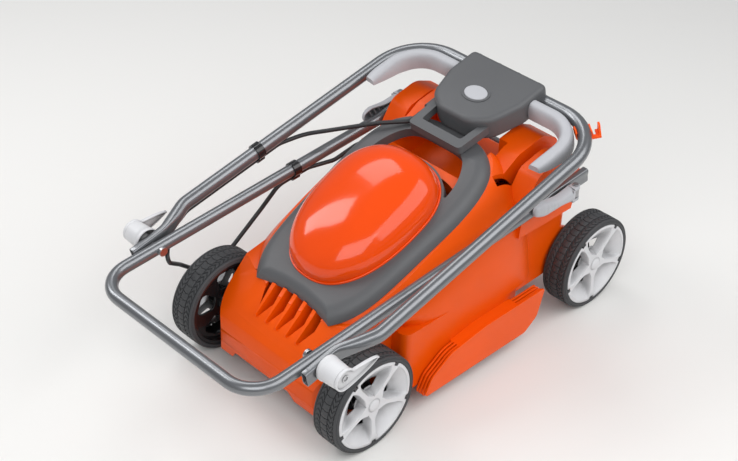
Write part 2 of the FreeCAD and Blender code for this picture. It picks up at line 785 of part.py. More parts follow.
for x, y in post_places():
    post = fuse([rod(post_r, vec(x, y, plate_low - 3), Z, high_plate + bracket_t + 4 - plate_low),
                 rod(post_r + 3, vec(x, y, plate_low - 4), Z, 4),
                 rod(post_r + 3, vec(x, y, high_plate + bracket_t), Z, 5),
                 rod(post_r + 2, vec(x, y, low_plate + bracket_t), Z, high_plate - low_plate - bracket_t)])
    posts.append(at_motor(post, 0))
add("motor_bolts", *posts)
add("capacitor", fuse([rod(capacitor_r, vec(66, -126, plate_top), Z, capacitor_l),
                       rod(5, vec(60, -126, plate_top + capacitor_l - 1), Z, 7),
                       rod(5, vec(73, -126, plate_top + capacitor_l - 1), Z, 7)]))

fan_z = high_plate + bracket_t + 7
shaft_low = blade_z + blade_t
rotor = ring(stator_in - air_gap, shaft_r, vec(0, 0, stator_low + 1), Z, stator_top - stator_low - 2)
add("rotor_core", at_motor(rotor, 0))
shaft = rod(shaft_r, vec(0, 0, shaft_low), Z, fan_z + fan_h + 4 - shaft_low)
shaft = shaft.cut(rod(blade_bolt_r, vec(0, 0, shaft_low - 1), Z, 26))
add("motor_shaft", at_motor(shaft, 0))
fan = [rod(fan_r, vec(0, 0, fan_z), Z, 2), rod(shaft_r + 5, vec(0, 0, fan_z), Z, fan_h)]
for i in range(10):
    vane = box(shaft_r + 3, fan_r - 1, -1, 1, fan_z + 1, fan_z + fan_h - 1)
    vane.rotate(vec(14, 0, 0), Z, 18)
    vane.rotate(vec(0, 0, 0), Z, 36 * i)
    fan.append(vane.common(rod(fan_r, vec(0, 0, fan_z), Z, fan_h)))
add("cooling_fan", at_motor(fuse(fan).cut(rod(shaft_r, vec(0, 0, fan_z - 1), Z, fan_h + 2)), 0))
carrier = [rod(carrier_r, vec(0, 0, shaft_low), Z, carrier_h), rod(52, vec(0, 0, shaft_low), Z, 3)]
for i in range(12):
    vane = box(carrier_r - 3, 50, -1.2, 1.2, shaft_low, shaft_low + 12)
    vane.rotate(vec(0, 0, 0), Z, 30 * i)
    carrier.append(vane)
add("blade_carrier", at_motor(fuse(carrier).cut(rod(shaft_r, vec(0, 0, shaft_low - 1), Z, carrier_h + 2)), 0))
half_l, half_w = blade_l / 2, blade_w / 2
plan = [(-half_l + 2, -half_w + 4), (-60, -half_w), (60, -half_w), (half_l - 2, -half_w + 4),
        (half_l - 6, half_w - 4), (60, half_w), (-60, half_w), (-half_l + 6, half_w - 4)]
blade = plan_prism(plan, [6, 30, 30, 6, 6, 30, 30, 6], blade_z, blade_z + blade_t)
lifts = []
for turn in (0, 180):
    lift = side_prism([(half_w - 12, blade_z + 1), (half_w - 4.5, blade_z + 1), (half_w - 1, blade_z + 18),
                       (half_w - 4, blade_z + 18)], [0, 0, 1, 1], 84, half_l - 14)
    lift.rotate(vec(0, 0, 0), Z, turn)
    lifts.append(lift)
blade = fuse([blade] + lifts).cut(rod(blade_bolt_r, vec(0, 0, blade_z - 1), Z, blade_t + 2))
blade.rotate(vec(0, 0, 0), Z, 25)
add("blade", at_motor(blade, 0))
hexagon = [(11 * math.cos(math.pi / 3 * i), 11 * math.sin(math.pi / 3 * i)) for i in range(6)]
bolt = fuse([plan_prism(hexagon, [0.6] * 6, blade_z - 8, blade_z - 1.5),
             rod(14, vec(0, 0, blade_z - 1.5), Z, 1.5), rod(blade_bolt_r, vec(0, 0, blade_z - 2), Z, 28)])
add("blade_bolt", at_motor(bolt, 0))

# ---- rear flap --------------------------------------------------------------------

flap = [box(-flap_half, flap_half, pin_y - flap_t / 2, pin_y + flap_t / 2, flap_low, pin_z - 3)]
flap.append(ring(pin_r + 3.5, pin_r + run_gap, vec(-flap_half, pin_y, pin_z), X, 2 * flap_half))
for x in (-90, -45, 0, 45, 90):
    flap.append(box(x - 1.5, x + 1.5, pin_y - 7, pin_y, flap_low + 4, pin_z - 8))
flap.append(box(-flap_half, flap_half, pin_y - 6, pin_y + 2, flap_low, flap_low + 3))
flap = fuse(flap).cut(rod(pin_r + run_gap, vec(-200, pin_y, pin_z), X, 400))
flap = flap.cut(rod(pin_r + run_gap + 0.6, vec(-60, pin_y, pin_z), X, 120))
add("rear_flap", flap)
lug_out = flap_half + 1 + lug_t
pin_ends = rod(pin_end_r, vec(-lug_out - pin_free, pin_y, pin_z), X, 2 * (lug_out + pin_free))
add("flap_hinge_pin", fuse([rod(pin_r, vec(-lug_out, pin_y, pin_z), X, 2 * lug_out), pin_ends]))

# ---- lower handle -----------------------------------------------------------------

def tube_u(points, radii, r):
    """A bent tube: its outer solid and the solid of its bore."""
    return sweep(tube_path(points, radii), r), sweep(tube_path(points, radii), r - tube_wall)


def flattened(x, s0, s1, grow=0.0):
    """A tube end pressed flat, centred on x, from s0 to s1 along the tube."""
    full = rod(flat_r - grow, vec(x, s0, 0), Y, s1 - s0)
    return full.common(box(x - flat_half + grow, x + flat_half - grow, s0 - 1, s1 + 1, -30, 30))


def eye_end(x, s_eye, toward, r):
    """Rounds the free end of a flattened tube about the eye at s_eye."""
    keep = rod(r, vec(x - 30, s_eye, 0), X, 60)
    far = box(x - 30, x + 30, s_eye, s_eye + toward * 900, -60, 60) if toward > 0 else \
        box(x - 30, x + 30, s_eye + toward * 900, s_eye, -60, 60)
    return keep.fuse(far)


lower_cos = math.cos(math.radians(lower_tilt))
s_front = (lower_front - pivot_y) / lower_cos
s_back = (lower_back - pivot_y) / lower_cos
s_knob = (knob_y - pivot_y) / lower_cos
s_flat = (128.0 - pivot_y) / lower_cos
outer, bore = tube_u([vec(-lower_x, s_flat + 4, 0), vec(-lower_x, s_front, 0), vec(lower_x, s_front, 0),
                      vec(lower_x, s_flat + 4, 0)], [lower_bend, lower_bend], lower_r)
for x in (-lower_x, lower_x):
    outer = outer.fuse(flattened(x, s_flat, s_back))
    bore = bore.fuse(flattened(x, s_flat - 1, s_back + 1, tube_wall))
lower = outer.cut(bore)
for x in (-lower_x, lower_x):
    lower = lower.cut(rod(bolt_r, vec(x - 20, 0, 0), X, 40))
    lower = lower.cut(rod(bolt_r - 0.5, vec(x - 20, s_knob, 0), X, 40))
add("lower_handle", on_lower(lower).Solids[0])

knob_bolt_r = bolt_r - 0.5
flat_in = lower_x + lower_r + 0.5
flat_out = flat_in + 2 * flat_half
knob_in = flat_out + 0.3
knob_out = knob_in + knob_l
bolts = []
bolt = fuse([rod(knob_bolt_r, vec(lower_x - lower_r - 1, knob_y, knob_z), X, knob_in + 18 - lower_x + lower_r + 1),
             rod(7.5, vec(lower_x - lower_r - 5, knob_y, knob_z), X, 5)])
add("knob_bolts", *both(bolt))
pin_x = 190.0
bolt = fuse([rod(bolt_r, vec(ear_in - 4, pivot_y, pivot_z), X, pin_x - ear_in + 4),
             rod(9, vec(ear_in - 6.3, pivot_y, pivot_z), X, 6),
             rod(9, vec(lower_x + flat_half, pivot_y, pivot_z), X, 2.5),
             rod(6.5, vec(pin_x - 6.5, pivot_y, pivot_z), X, 13).common(
                 rod(6.5, vec(pin_x, pivot_y, pivot_z - 10), Z, 20))])
bolt = bolt.cut(rod(3, vec(pin_x, pivot_y, pivot_z - 20), Z, 40))
add("handle_pivot_bolts", *both(bolt))
pin = fuse([rod(3, vec(pin_x, pivot_y, pivot_z - cam_h / 2 - 1.5), Z, cam_h + 3),
            rod(4.5, vec(pin_x, pivot_y, pivot_z + cam_h / 2 + 0.3), Z, 1.8)])
add("cam_pins", *both(pin))


def make_cam_lever():
    """Lever of the quick clamp, its fork round the bolt's eye and its tail to the front."""
    x0, x1 = lower_x + lower_r + 0.8, lower_x + lower_r + 0.8 + cam_t
    rear = pivot_y + pin_x - x0
    tail = pivot_y - cam_len
    outline = [vec(x0, rear, pivot_z), vec(x1 + 1, rear, pivot_z), vec(x1 + 2, pivot_y - 40, pivot_z),
               vec(x1 - 4, tail, pivot_z), vec(x0, tail, pivot_z)]
    plan_face = Part.Face(rounded_wire(outline, [pin_x - x0, 6.5, 60, 5, 3]))
    plan_face.translate(vec(0, 0, -cam_h / 2))
    body = plan_face.extrude(vec(0, 0, cam_h))
    side = side_prism([(rear + 1, pivot_z - cam_h / 2), (rear + 1, pivot_z + cam_h / 2),
                       (pivot_y - 40, pivot_z + cam_h / 2), (tail - 1, pivot_z + 8), (tail - 1, pivot_z - 9),
                       (pivot_y - 40, pivot_z - cam_h / 2)], [0, 0, 80, 0, 0, 80], x0 - 20, x1 + 20)
    body = body.common(side)
    slot = box(x0 - 2, x1 + 10, pivot_y - 10, rear + 5, pivot_z - 7, pivot_z + 7)
    body = body.cut(slot)
    hollow = box(x0 - 2, x1 - 5, tail + 8, pivot_y - 14, pivot_z - 6, pivot_z + 6)
    body = body.cut(hollow)
    ribs = [box(x0 + 2, x1 - 4.5, tail + 16 + 12 * i, tail + 18 + 12 * i, pivot_z - 6.5, pivot_z + 6.5)
            for i in range(5)]
    body = fuse([body] + ribs)
    for i in range(4):
        y = tail + 7 + 6 * i
        body = body.cut(box(x1 - 5.2 + 0.1 * i, x1 + 8, y, y + 2.6, pivot_z - 20, pivot_z + 20))
    return body.cut(rod(3 + run_gap, vec(pin_x, pivot_y, pivot_z - 30), Z, 60))


cam_lever = make_cam_lever()
add("cam_lever_left", mirrored(cam_lever))
add("cam_lever_right", cam_lever)


def make_knob():
    """Clamping knob: a flared barrel with a thin wing reaching back from its outer end."""
    outline = [vec(knob_in, knob_y, knob_z), vec(knob_in, knob_y, knob_z + knob_r),
               vec(knob_in + 5, knob_y, knob_z + knob_r), vec(knob_in + 8, knob_y, knob_z + knob_r - 2),
               vec(knob_out + 2, knob_y, knob_z + knob_r - 4), vec(knob_out + 2, knob_y, knob_z)]
    face = Part.Face(rounded_wire(outline, [0, 1.2, 1.2, 1, 1.5, 0]))
    barrel = face.revolve(vec(knob_in, knob_y, knob_z), X, 360)
    wing = side_prism([(knob_y - 16, knob_z - 15), (knob_y + 8, knob_z - 17), (knob_y + wing_l, knob_z + 2),
                       (knob_y + wing_l, knob_z + 11), (knob_y + 8, knob_z + 17), (knob_y - 16, knob_z + 15)],
                      [13, 14, 4, 4, 14, 13], knob_out - 1, knob_out + wing_t)
    slim = plan_prism([(knob_out - 0.6, knob_y - 30), (knob_out + wing_t, knob_y - 30),
                       (knob_out + wing_t, knob_y + 20), (knob_out + 4.5, knob_y + wing_l + 2),
                       (knob_out - 0.6, knob_y + wing_l + 2)], [0, 0, 60, 0, 0], knob_z - 40, knob_z + 40)
    wing = wing.common(slim)
    body = fuse([barrel, wing])
    body = body.cut(rod(5, vec(knob_out + 4, knob_y + 3, knob_z + 4), X, 20))
    return body.cut(rod(knob_bolt_r + run_gap, vec(knob_in - 1, knob_y, knob_z), X, 22))


knob = make_knob()
add("knob_left", mirrored(knob))
add("knob_right", knob)

# ---- upper handle -----------------------------------------------------------------

upper_cos = math.cos(math.radians(upper_tilt))


def u_at(y):
    return (y - upper_bar) / upper_cos


flat_x = flat_in + flat_half
bend_x = upper_x
leg_x = upper_x + 9.0
path = [vec(-flat_x, u_at(-392), 0), vec(-flat_x, u_at(-342), 0), vec(-leg_x, u_at(-286), 0),
        vec(-bend_x, 0, 0), vec(bend_x, 0, 0), vec(leg_x, u_at(-286), 0), vec(flat_x, u_at(-342), 0),
        vec(flat_x, u_at(-392), 0)]
outer, bore = tube_u(path, [40, 40, upper_bend, upper_bend, 40, 40], upper_r)
for side in (-1, 1):
    clear = box(100, flat_in, u_at(-420), u_at(-300), -30, 30)
    clear_in = box(100, flat_in + tube_wall, u_at(-420), u_at(-300), -30, 30)
    clear_out = box(flat_out, 260, u_at(-420), u_at(-346), -30, 30)
    clear_out_in = box(flat_out - tube_wall, 260, u_at(-420), u_at(-344.5), -30, 30)
    if side < 0:
        clear, clear_in = mirrored(clear), mirrored(clear_in)
        clear_out, clear_out_in = mirrored(clear_out), mirrored(clear_out_in)
    outer = outer.cut(clear).cut(clear_out)
    bore = bore.cut(clear_in).cut(clear_out_in)
    outer = outer.fuse(flattened(side * flat_x, u_at(-402), u_at(-344)))
    bore = bore.fuse(flattened(side * flat_x, u_at(-404), u_at(-345), tube_wall))
upper = outer.cut(bore)
upper_solid = outer
u_knob = (knob_y - upper_bar) / upper_cos
for side in (-1, 1):
    upper = upper.cut(rod(knob_bolt_r + run_gap, vec(side * flat_x - 20, u_knob, 0), X, 40))
add("upper_handle", on_upper(upper).Solids[0])

# Switch box, drawn flat about the handlebar
box_plan = [(-box_half, box_back), (box_half, box_back), (box_half, -48), (62, -104), (30, box_front),
            (-30, box_front), (-62, -104), (-box_half, -48)]
box_posts = ((-66, -50), (66, -50), (-36, -113), (36, -113))
box_radii = [10, 10, 50, 40, 36, 36, 40, 50]


def shrunk_plan(t, z0, z1):
    points = [(x - math.copysign(t, x), y - (t if y > 0 else -t if y < -100 else 0)) for x, y in box_plan]
    return plan_prism(points, [max(r - t, 2) for r in box_radii], z0, z1)


bar_bore = rod(upper_r, vec(-200, 0, 0), X, 400)
shaft_u = -25.0
shaft_w = 8.0
lever_shaft_r = 4.0
button_u = -70.0

cover = shrunk_plan(0, box_seam, box_top)
edges = [e for e in cover.Edges if e.BoundBox.ZMin > box_top - 0.01]
cover = cover.makeFillet(9, edges)
cover = cover.cut(shrunk_plan(box_wall, box_seam - 1, box_top - box_wall - 6))
cover = cover.cut(shrunk_plan(box_wall + 5, box_seam - 1, box_top - box_wall))
frame_oval = Part.Face(oval(button_a + 4, button_u - button_b - 4, button_u + button_b + 4, box_top - 5, 2)).extrude(
    vec(0, 0, 6.2))
cover = cover.fuse(frame_oval)
cheeks = [box(x - 3, x + 3, -16, box_back - 1, box_seam, box_top - 4) for x in (-62, -20, 20, 62)]
bosses = [rod(4.5, vec(x, u, box_seam), Z, 14) for x, u in box_posts]
cover = cover.multiFuse(cheeks + bosses)
hole = Part.Face(oval(button_a + 0.3, button_u - button_b - 0.3, button_u + button_b + 0.3, box_seam, 2))
cover = cover.cut(hole.extrude(vec(0, 0, 60))).cut(bar_bore)

base = shrunk_plan(0, box_low, box_seam)
edges = [e for e in base.Edges if e.BoundBox.ZMax < box_low + 0.01]
base = base.makeFillet(6, edges)
base = base.cut(shrunk_plan(box_wall, box_low + box_wall + 4, box_seam + 1))
base = base.cut(shrunk_plan(box_wall + 4, box_low + box_wall, box_seam + 1))
cheeks = [box(x - 3, x + 3, -16, box_back - 1, box_low + 2, box_seam) for x in (-62, -20, 20, 62)]
bosses = [rod(4.5, vec(x, u, box_low + 1), Z, box_seam - box_low - 1)
          for x, u in box_posts]
bail = plan_prism([(-58, -90), (58, -90), (54, bail_front), (-54, bail_front)], [4, 4, 7, 7], -2, 12)
bail = bail.cut(plan_prism([(-46, -80), (46, -80), (41, bail_front + 18), (-41, bail_front + 18)],
                           [4, 4, 4, 4], -20, 14)).cut(shrunk_plan(-seat_gap, box_seam, 30)).cut(
    shrunk_plan(1.0, -30, box_seam))
base = base.multiFuse(cheeks + bosses + [bail]).cut(bar_bore)
swing = []
for x in (-box_half - 2, box_half - box_wall - 2):
    swing.append(rod(lever_shaft_r + 0.4, vec(x, shaft_u, shaft_w), X, box_wall + 6))
for cut in swing:
    cover = cover.cut(cut)
    base = base.cut(cut)
screws = []
for x, u in box_posts:
    hole = rod(1.8, vec(x, u, box_low - 1), Z, box_seam - box_low + 12)
    base = base.cut(hole).cut(rod(3.4, vec(x, u, box_low - 1), Z, 7))
    cover = cover.cut(hole)
    screws.append(on_upper(fuse([rod(1.8, vec(x, u, box_low + 6), Z, box_seam - box_low + 5),
                                 rod(3.3, vec(x, u, box_low + 3.4), Z, 2.6)])))
gland_at = vec(-62, -84, 0)
gland_out = vec(0, -1, 0)
gland = rod(6.5, gland_at, gland_out, 36).cut(shrunk_plan(-seat_gap, box_seam, 30))
base = base.fuse(gland).cut(rod(lead_r, gland_at, gland_out, 60))
add("box_cover", on_upper(cover).Solids[0])
add("box_base", on_upper(base).Solids[0])
add("box_screws", *screws)
unit = fuse([box(-28, 28, -92, -48, -11, 1.5), box(-22, 22, -88, -52, 1, 6.5)])
unit_feet = [box(x - 4, x + 4, -90, -50, box_low + box_wall, -10.5) for x in (-20, 20)]
add("switch_unit", on_upper(fuse([unit] + unit_feet)))
button = Part.Face(oval(button_a, button_u - button_b, button_u + button_b, 11, 2)).extrude(vec(0, 0, 18.2))
edges = [e for e in button.Edges if e.BoundBox.ZMin > 29]
button = button.makeFillet(2.0, edges)
flange = Part.Face(oval(button_a + 3, button_u - button_b - 3, button_u + button_b + 3, 11, 2)).extrude(
    vec(0, 0, 3))
button = button.fuse(flange).cut(rod(9, vec(0, button_u, 30.5), Z, 10).common(
    Part.makeSphere(30, vec(0, button_u, 58))))
add("lock_button", on_upper(button).Solids[0])


def make_start_lever():
    """Curved channel lever that follows the inside of the handlebar's bend."""
    cx, cu = bend_x - upper_bend, -upper_bend
    r_out = upper_bend - upper_r - lever_gap
    r_in = r_out - lever_w
    top, low = lever_low + lever_h, lever_low

    def band(t, start):
        """The lever's section, thinned by t, led along the straight, the bend and the tail."""
        outline = [vec(r_in + t, 0, start), vec(r_out - t, 0, start), vec(r_out - t, 0, top - t),
                   vec(r_in + t, 0, top - t)]
        face = Part.Face(rounded_wire(outline, [0, 0, lever_round - t, lever_round - t]))
        tail = face.extrude(vec(0, -52, 0))
        quarter = face.revolve(vec(0, 0, 0), Z, 90)
        face.rotate(vec(0, 0, 0), Z, 90)
        straight = face.extrude(vec(box_half + 1 - cx, 0, 0))
        body = fuse([quarter, straight, tail])
        body.translate(vec(cx, cu, 0))
        return body

    body = band(0, low).cut(band(lever_wall, low - 1))
    body = body.fuse(box(cx + r_in, cx + r_out, cu - 52, cu - 49, low, top))
    wedge = side_prism([(cu - 53, low - 1), (cu - 53, top - 12), (cu + 30, low - 1)], [0, 0, 0], cx, cx + 100)
    body = body.cut(wedge)
    ribs = []
    for i in range(5):
        rib = box(r_in + 1, r_out - 1, -1, 1, low + 4, top - 1)
        rib.rotate(vec(0, 0, 0), Z, 12 + 16 * i)
        rib.translate(vec(cx, cu, 0))
        ribs.append(rib)
    hub = rod(8, vec(box_half + 1, shaft_u, shaft_w), X, 10)
    body = fuse([body, hub] + ribs)
    return body.cut(rod(lever_shaft_r, vec(box_half - 1, shaft_u, shaft_w), X, 14))


start_lever = make_start_lever()
add("start_lever_left", on_upper(mirrored(start_lever)))
add("start_lever_right", on_upper(start_lever))
add("lever_shaft", on_upper(fuse([rod(lever_shaft_r, vec(-box_half - 12.5, shaft_u, shaft_w), X, 2 * box_half + 25),
                                  box(-5, 5, -44, shaft_u, shaft_w - 3, shaft_w + 3)])))

# Cable cleat under the right-hand bend
cx, cu = bend_x - upper_bend, -upper_bend
jaw = rod(upper_r + 2.6, vec(upper_bend, -9, 0), Y, 18).cut(box(60, 110, -12, 12, 5, 20))
plate = box(upper_bend + 6, upper_bend + 27, -9, 9, -12, -8.5)
lip = side_prism([(-9, -12), (9, -12), (6, 9), (-2, 9)], [0, 0, 2, 2], upper_bend + 24, upper_bend + 27)
notch = box(upper_bend + 16, upper_bend + 20, -2, 12, -13, -7)
bend = Part.makeTorus(upper_bend, upper_r, vec(0, 0, 0), Z)
turn = fuse([jaw, plate, lip]).cut(bend).cut(notch)
turn.rotate(vec(0, 0, 0), Z, 52)
turn.translate(vec(cx, cu, 0))
turn = turn.cut(upper_solid)
add("cable_cleat", on_upper(turn).Solids[0])

# ---- lead and its clips -----------------------------------------------------------

def leg_at(u):
    """Centre of the upper handle's leg at u, in its flat drawing."""
    return upper_x + (leg_x - upper_x) * u / u_at(-286)


def make_clip(r, hang):
    """Snap clip round a tube of radius r, with the lead's eye hanging under it."""
    body = fuse([ring(r + 2.6, r, vec(0, -clip_t / 2, 0), Y, clip_t),
                 rod(lead_r + 2.6, vec(0, -clip_t / 2, -hang), Y, clip_t)])
    body = body.cut(rod(r, vec(0, -20, 0), Y, 40)).cut(rod(lead_r, vec(0, -20, -hang), Y, 40))
    return body.cut(box(-2, 2, -20, 20, 0, 30)).cut(box(-12, 0, -20, 20, -hang - 0.8, -hang + 0.8))


upper_hang = upper_r + lead_r + 0.6
lower_hang = lower_r + lead_r + 0.6
clip = make_clip(upper_r, upper_hang)
clip.rotate(vec(0, 0, 0), Z, -math.degrees(math.atan((leg_x - upper_x) / -u_at(-286))))
clip.translate(vec(-leg_at(u_at(upper_clip_y)), u_at(upper_clip_y), 0))
add("upper_lead_clip", on_upper(clip).Solids[0])
clip = make_clip(lower_r, lower_hang)
clip.translate(vec(-lower_x, (lower_clip_y - pivot_y) / lower_cos, 0))
add("lower_lead_clip", on_lower(clip).Solids[0])


def upper_point(x, u, w):
    turn = FreeCAD.Rotation(X, upper_tilt)
    return turn.multVec(vec(x, u, w)) + vec(0, upper_bar, upper_bar_z)


def lower_point(x, y, w):
    turn = FreeCAD.Rotation(X, lower_tilt)
    return turn.multVec(vec(x, (y - pivot_y) / lower_cos, w)) + vec(0, pivot_y, pivot_z)


clip_back = lower_point(-lower_x, lower_clip_y + clip_t / 2 + 0.5, -lower_hang)
route = [upper_point(gland_at.x, gland_at.y, gland_at.z), upper_point(gland_at.x, gland_at.y - 76, gland_at.z),
         vec(-100, 22, 321), vec(-196, -50, 285), upper_point(-leg_at(u_at(-96)), u_at(-96), -upper_hang),
         upper_point(-leg_at(u_at(-284)), u_at(-284), -upper_hang), lead_turn, lead_join]
lead = sweep(tube_path(route, [16, 60, 50, 50, 36, 20]), lead_r)
add("lead_upper", lead.Solids[0])
down = (lead_join - lead_turn).normalize()
route = [lead_join + down * 0.2, lead_join + down * 22, vec(-190, -316, 160), vec(-197, -280, 128),
         vec(-197, -212, 130), vec(-184, -152, 194), lower_point(-lower_x, lower_clip_y - 34, -lower_hang), clip_back]
lead = sweep(tube_path(route, [9, 34, 26, 36, 60, 24]), lead_r)
add("lead_lower", lead.Solids[0])
route = [clip_back + vec(0, 0.2, 0), lower_point(-lower_x, -64, -lower_hang), vec(-156, -20, 242), gland_from, gland_to]
add("lead_deck", sweep(tube_path(route, [30, 40, 40]), lead_r).Solids[0])

for name, solids in nodes.items():
    placed = []
    for solid in solids:
        for part in solid.Solids:
            moved = part.copy()
            moved.translate(vec(0, chassis_y, 0))
            placed.append(moved)
    shape = placed[0] if len(placed) == 1 else Part.makeCompound(placed)
    shape.exportStep(f"parts/{name}.step")
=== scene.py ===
import bpy
import bmesh
import json
import math
from mathutils import Matrix, Quaternion, Vector
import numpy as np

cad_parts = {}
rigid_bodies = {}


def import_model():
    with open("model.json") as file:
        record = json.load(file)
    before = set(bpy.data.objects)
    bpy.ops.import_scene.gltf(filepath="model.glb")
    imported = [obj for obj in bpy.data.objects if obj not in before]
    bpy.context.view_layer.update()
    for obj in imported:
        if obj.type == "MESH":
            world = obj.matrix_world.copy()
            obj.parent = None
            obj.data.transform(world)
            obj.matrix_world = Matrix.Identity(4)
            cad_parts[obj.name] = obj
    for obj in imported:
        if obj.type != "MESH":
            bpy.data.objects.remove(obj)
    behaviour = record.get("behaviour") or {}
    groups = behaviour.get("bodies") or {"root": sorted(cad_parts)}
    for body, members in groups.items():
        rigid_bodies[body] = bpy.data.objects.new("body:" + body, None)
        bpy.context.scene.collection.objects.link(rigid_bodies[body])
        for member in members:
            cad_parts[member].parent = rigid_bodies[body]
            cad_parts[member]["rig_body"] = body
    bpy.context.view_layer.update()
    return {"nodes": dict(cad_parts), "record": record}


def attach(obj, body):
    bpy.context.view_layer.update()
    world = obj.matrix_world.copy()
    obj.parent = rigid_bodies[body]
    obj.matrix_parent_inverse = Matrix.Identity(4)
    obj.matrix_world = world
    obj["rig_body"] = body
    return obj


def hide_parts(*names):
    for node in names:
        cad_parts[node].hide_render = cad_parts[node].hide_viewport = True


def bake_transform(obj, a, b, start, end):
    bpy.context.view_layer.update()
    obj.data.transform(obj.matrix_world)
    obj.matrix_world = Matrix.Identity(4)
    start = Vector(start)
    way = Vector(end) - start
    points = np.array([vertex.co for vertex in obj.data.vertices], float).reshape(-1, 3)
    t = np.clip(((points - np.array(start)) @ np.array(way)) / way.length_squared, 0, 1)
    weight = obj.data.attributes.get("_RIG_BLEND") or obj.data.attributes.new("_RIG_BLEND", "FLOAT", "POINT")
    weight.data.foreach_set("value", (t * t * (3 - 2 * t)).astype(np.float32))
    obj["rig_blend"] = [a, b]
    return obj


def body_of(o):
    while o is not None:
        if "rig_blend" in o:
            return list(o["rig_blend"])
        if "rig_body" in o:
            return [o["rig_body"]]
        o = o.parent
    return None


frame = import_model()

mm = 0.001
chassisY = 74.85  # the drawing's zero is mid-wheelbase, the row's is mid-footprint
scene = bpy.context.scene


def row(x, y, z):  # drawing millimetres to the row's metres
    return Vector((x, y + chassisY, z)) * mm


def srgb(r, g, b):  # 0-255 paint-chart values to linear light
    chart = [c / 255 for c in (r, g, b)]
    return tuple(c / 12.92 if c < 0.04045 else ((c + 0.055) / 1.055) ** 2.4 for c in chart) + (1,)


# ---- view, floor and lamps
print("stage")
viewSet = {"eye": (1318, -1453, 1570), "aim": (-134.3, 44.7, 82), "roll": 2.319, "lens": 73.546}
eye, aim = row(*viewSet["eye"]), row(*viewSet["aim"])
ahead = (aim - eye).normalized()
right = ahead.cross(Vector((0, 0, 1))).normalized()
up = right.cross(ahead)
roll = math.radians(viewSet["roll"])
across = right * math.cos(roll) + up * math.sin(roll)
upward = up * math.cos(roll) - right * math.sin(roll)
camData = bpy.data.cameras.new("camera")
camData.lens, camData.sensor_width, camData.clip_end = viewSet["lens"], 36, 60
cam = bpy.data.objects.new("camera", camData)
scene.collection.objects.link(cam)
turn = Matrix((across, upward, -ahead)).transposed().to_4x4()
cam.matrix_world = Matrix.Translation(eye) @ turn
scene.camera = cam
scene.view_settings.view_transform = "Standard"


def newMaterial(name):
    material = bpy.data.materials.new(name)
    material.use_nodes = True
    tree = material.node_tree
    return material, tree, tree.nodes["Principled BSDF"]


floorSet = {"size": 14.0, "colour": (232, 231, 228), "roughness": 0.55}
floorMesh = bpy.data.meshes.new("floor")
h = floorSet["size"]
floorMesh.from_pydata([(-h, -h, 0), (h, -h, 0), (h, h, 0), (-h, h, 0)], [], [(0, 1, 2, 3)])
floor = bpy.data.objects.new("floor", floorMesh)
floor.location.z = -0.0004
scene.collection.objects.link(floor)
floorPaint, _, floorShader = newMaterial("floorPaint")
floorShader.inputs["Base Color"].default_value = srgb(*floorSet["colour"])
floorShader.inputs["Roughness"].default_value = floorSet["roughness"]
floorShader.inputs["Specular IOR Level"].default_value = 0.2
floorMesh.materials.append(floorPaint)

lampSet = {  # where each lamp hangs as seen from the mower: degrees round from the front, degrees up
    "frontPane": {"round": -64, "up": 41, "size": (620, 1450), "glow": 6.4},
    "rearPane": {"round": -112, "up": 56, "size": (1050, 820), "glow": 3.6},
    "flank": {"round": 112, "up": 48, "size": (2900, 1600), "glow": 2.6},
    "front": {"round": 35, "up": 38, "size": (1700, 1200), "glow": 3.3},
}
for name, lamp in lampSet.items():
    data = bpy.data.lights.new(name, "AREA")
    data.shape = "RECTANGLE"
    wide, tall = lamp["size"][0] * mm, lamp["size"][1] * mm
    data.size, data.size_y = wide, tall
    data.energy = lamp["glow"] * math.pi * wide * tall
    light = bpy.data.objects.new(name, data)
    scene.collection.objects.link(light)
    turn, climb = math.radians(lamp["round"]), math.radians(lamp["up"])
    away = Vector((math.sin(turn) * math.cos(climb), -math.cos(turn) * math.cos(climb), math.sin(climb)))
    light.location = row(0, -90, 250) + away * 2.3
    light.rotation_euler = (-away).to_track_quat("-Z", "Y").to_euler()
world = bpy.data.worlds.new("room")
world.use_nodes = True
scene.world = world
background = world.node_tree.nodes["Background"]
background.inputs["Color"].default_value = (0.93, 0.95, 1.0, 1)
background.inputs["Strength"].default_value = 0.32


# ---- finishes
print("finishes")


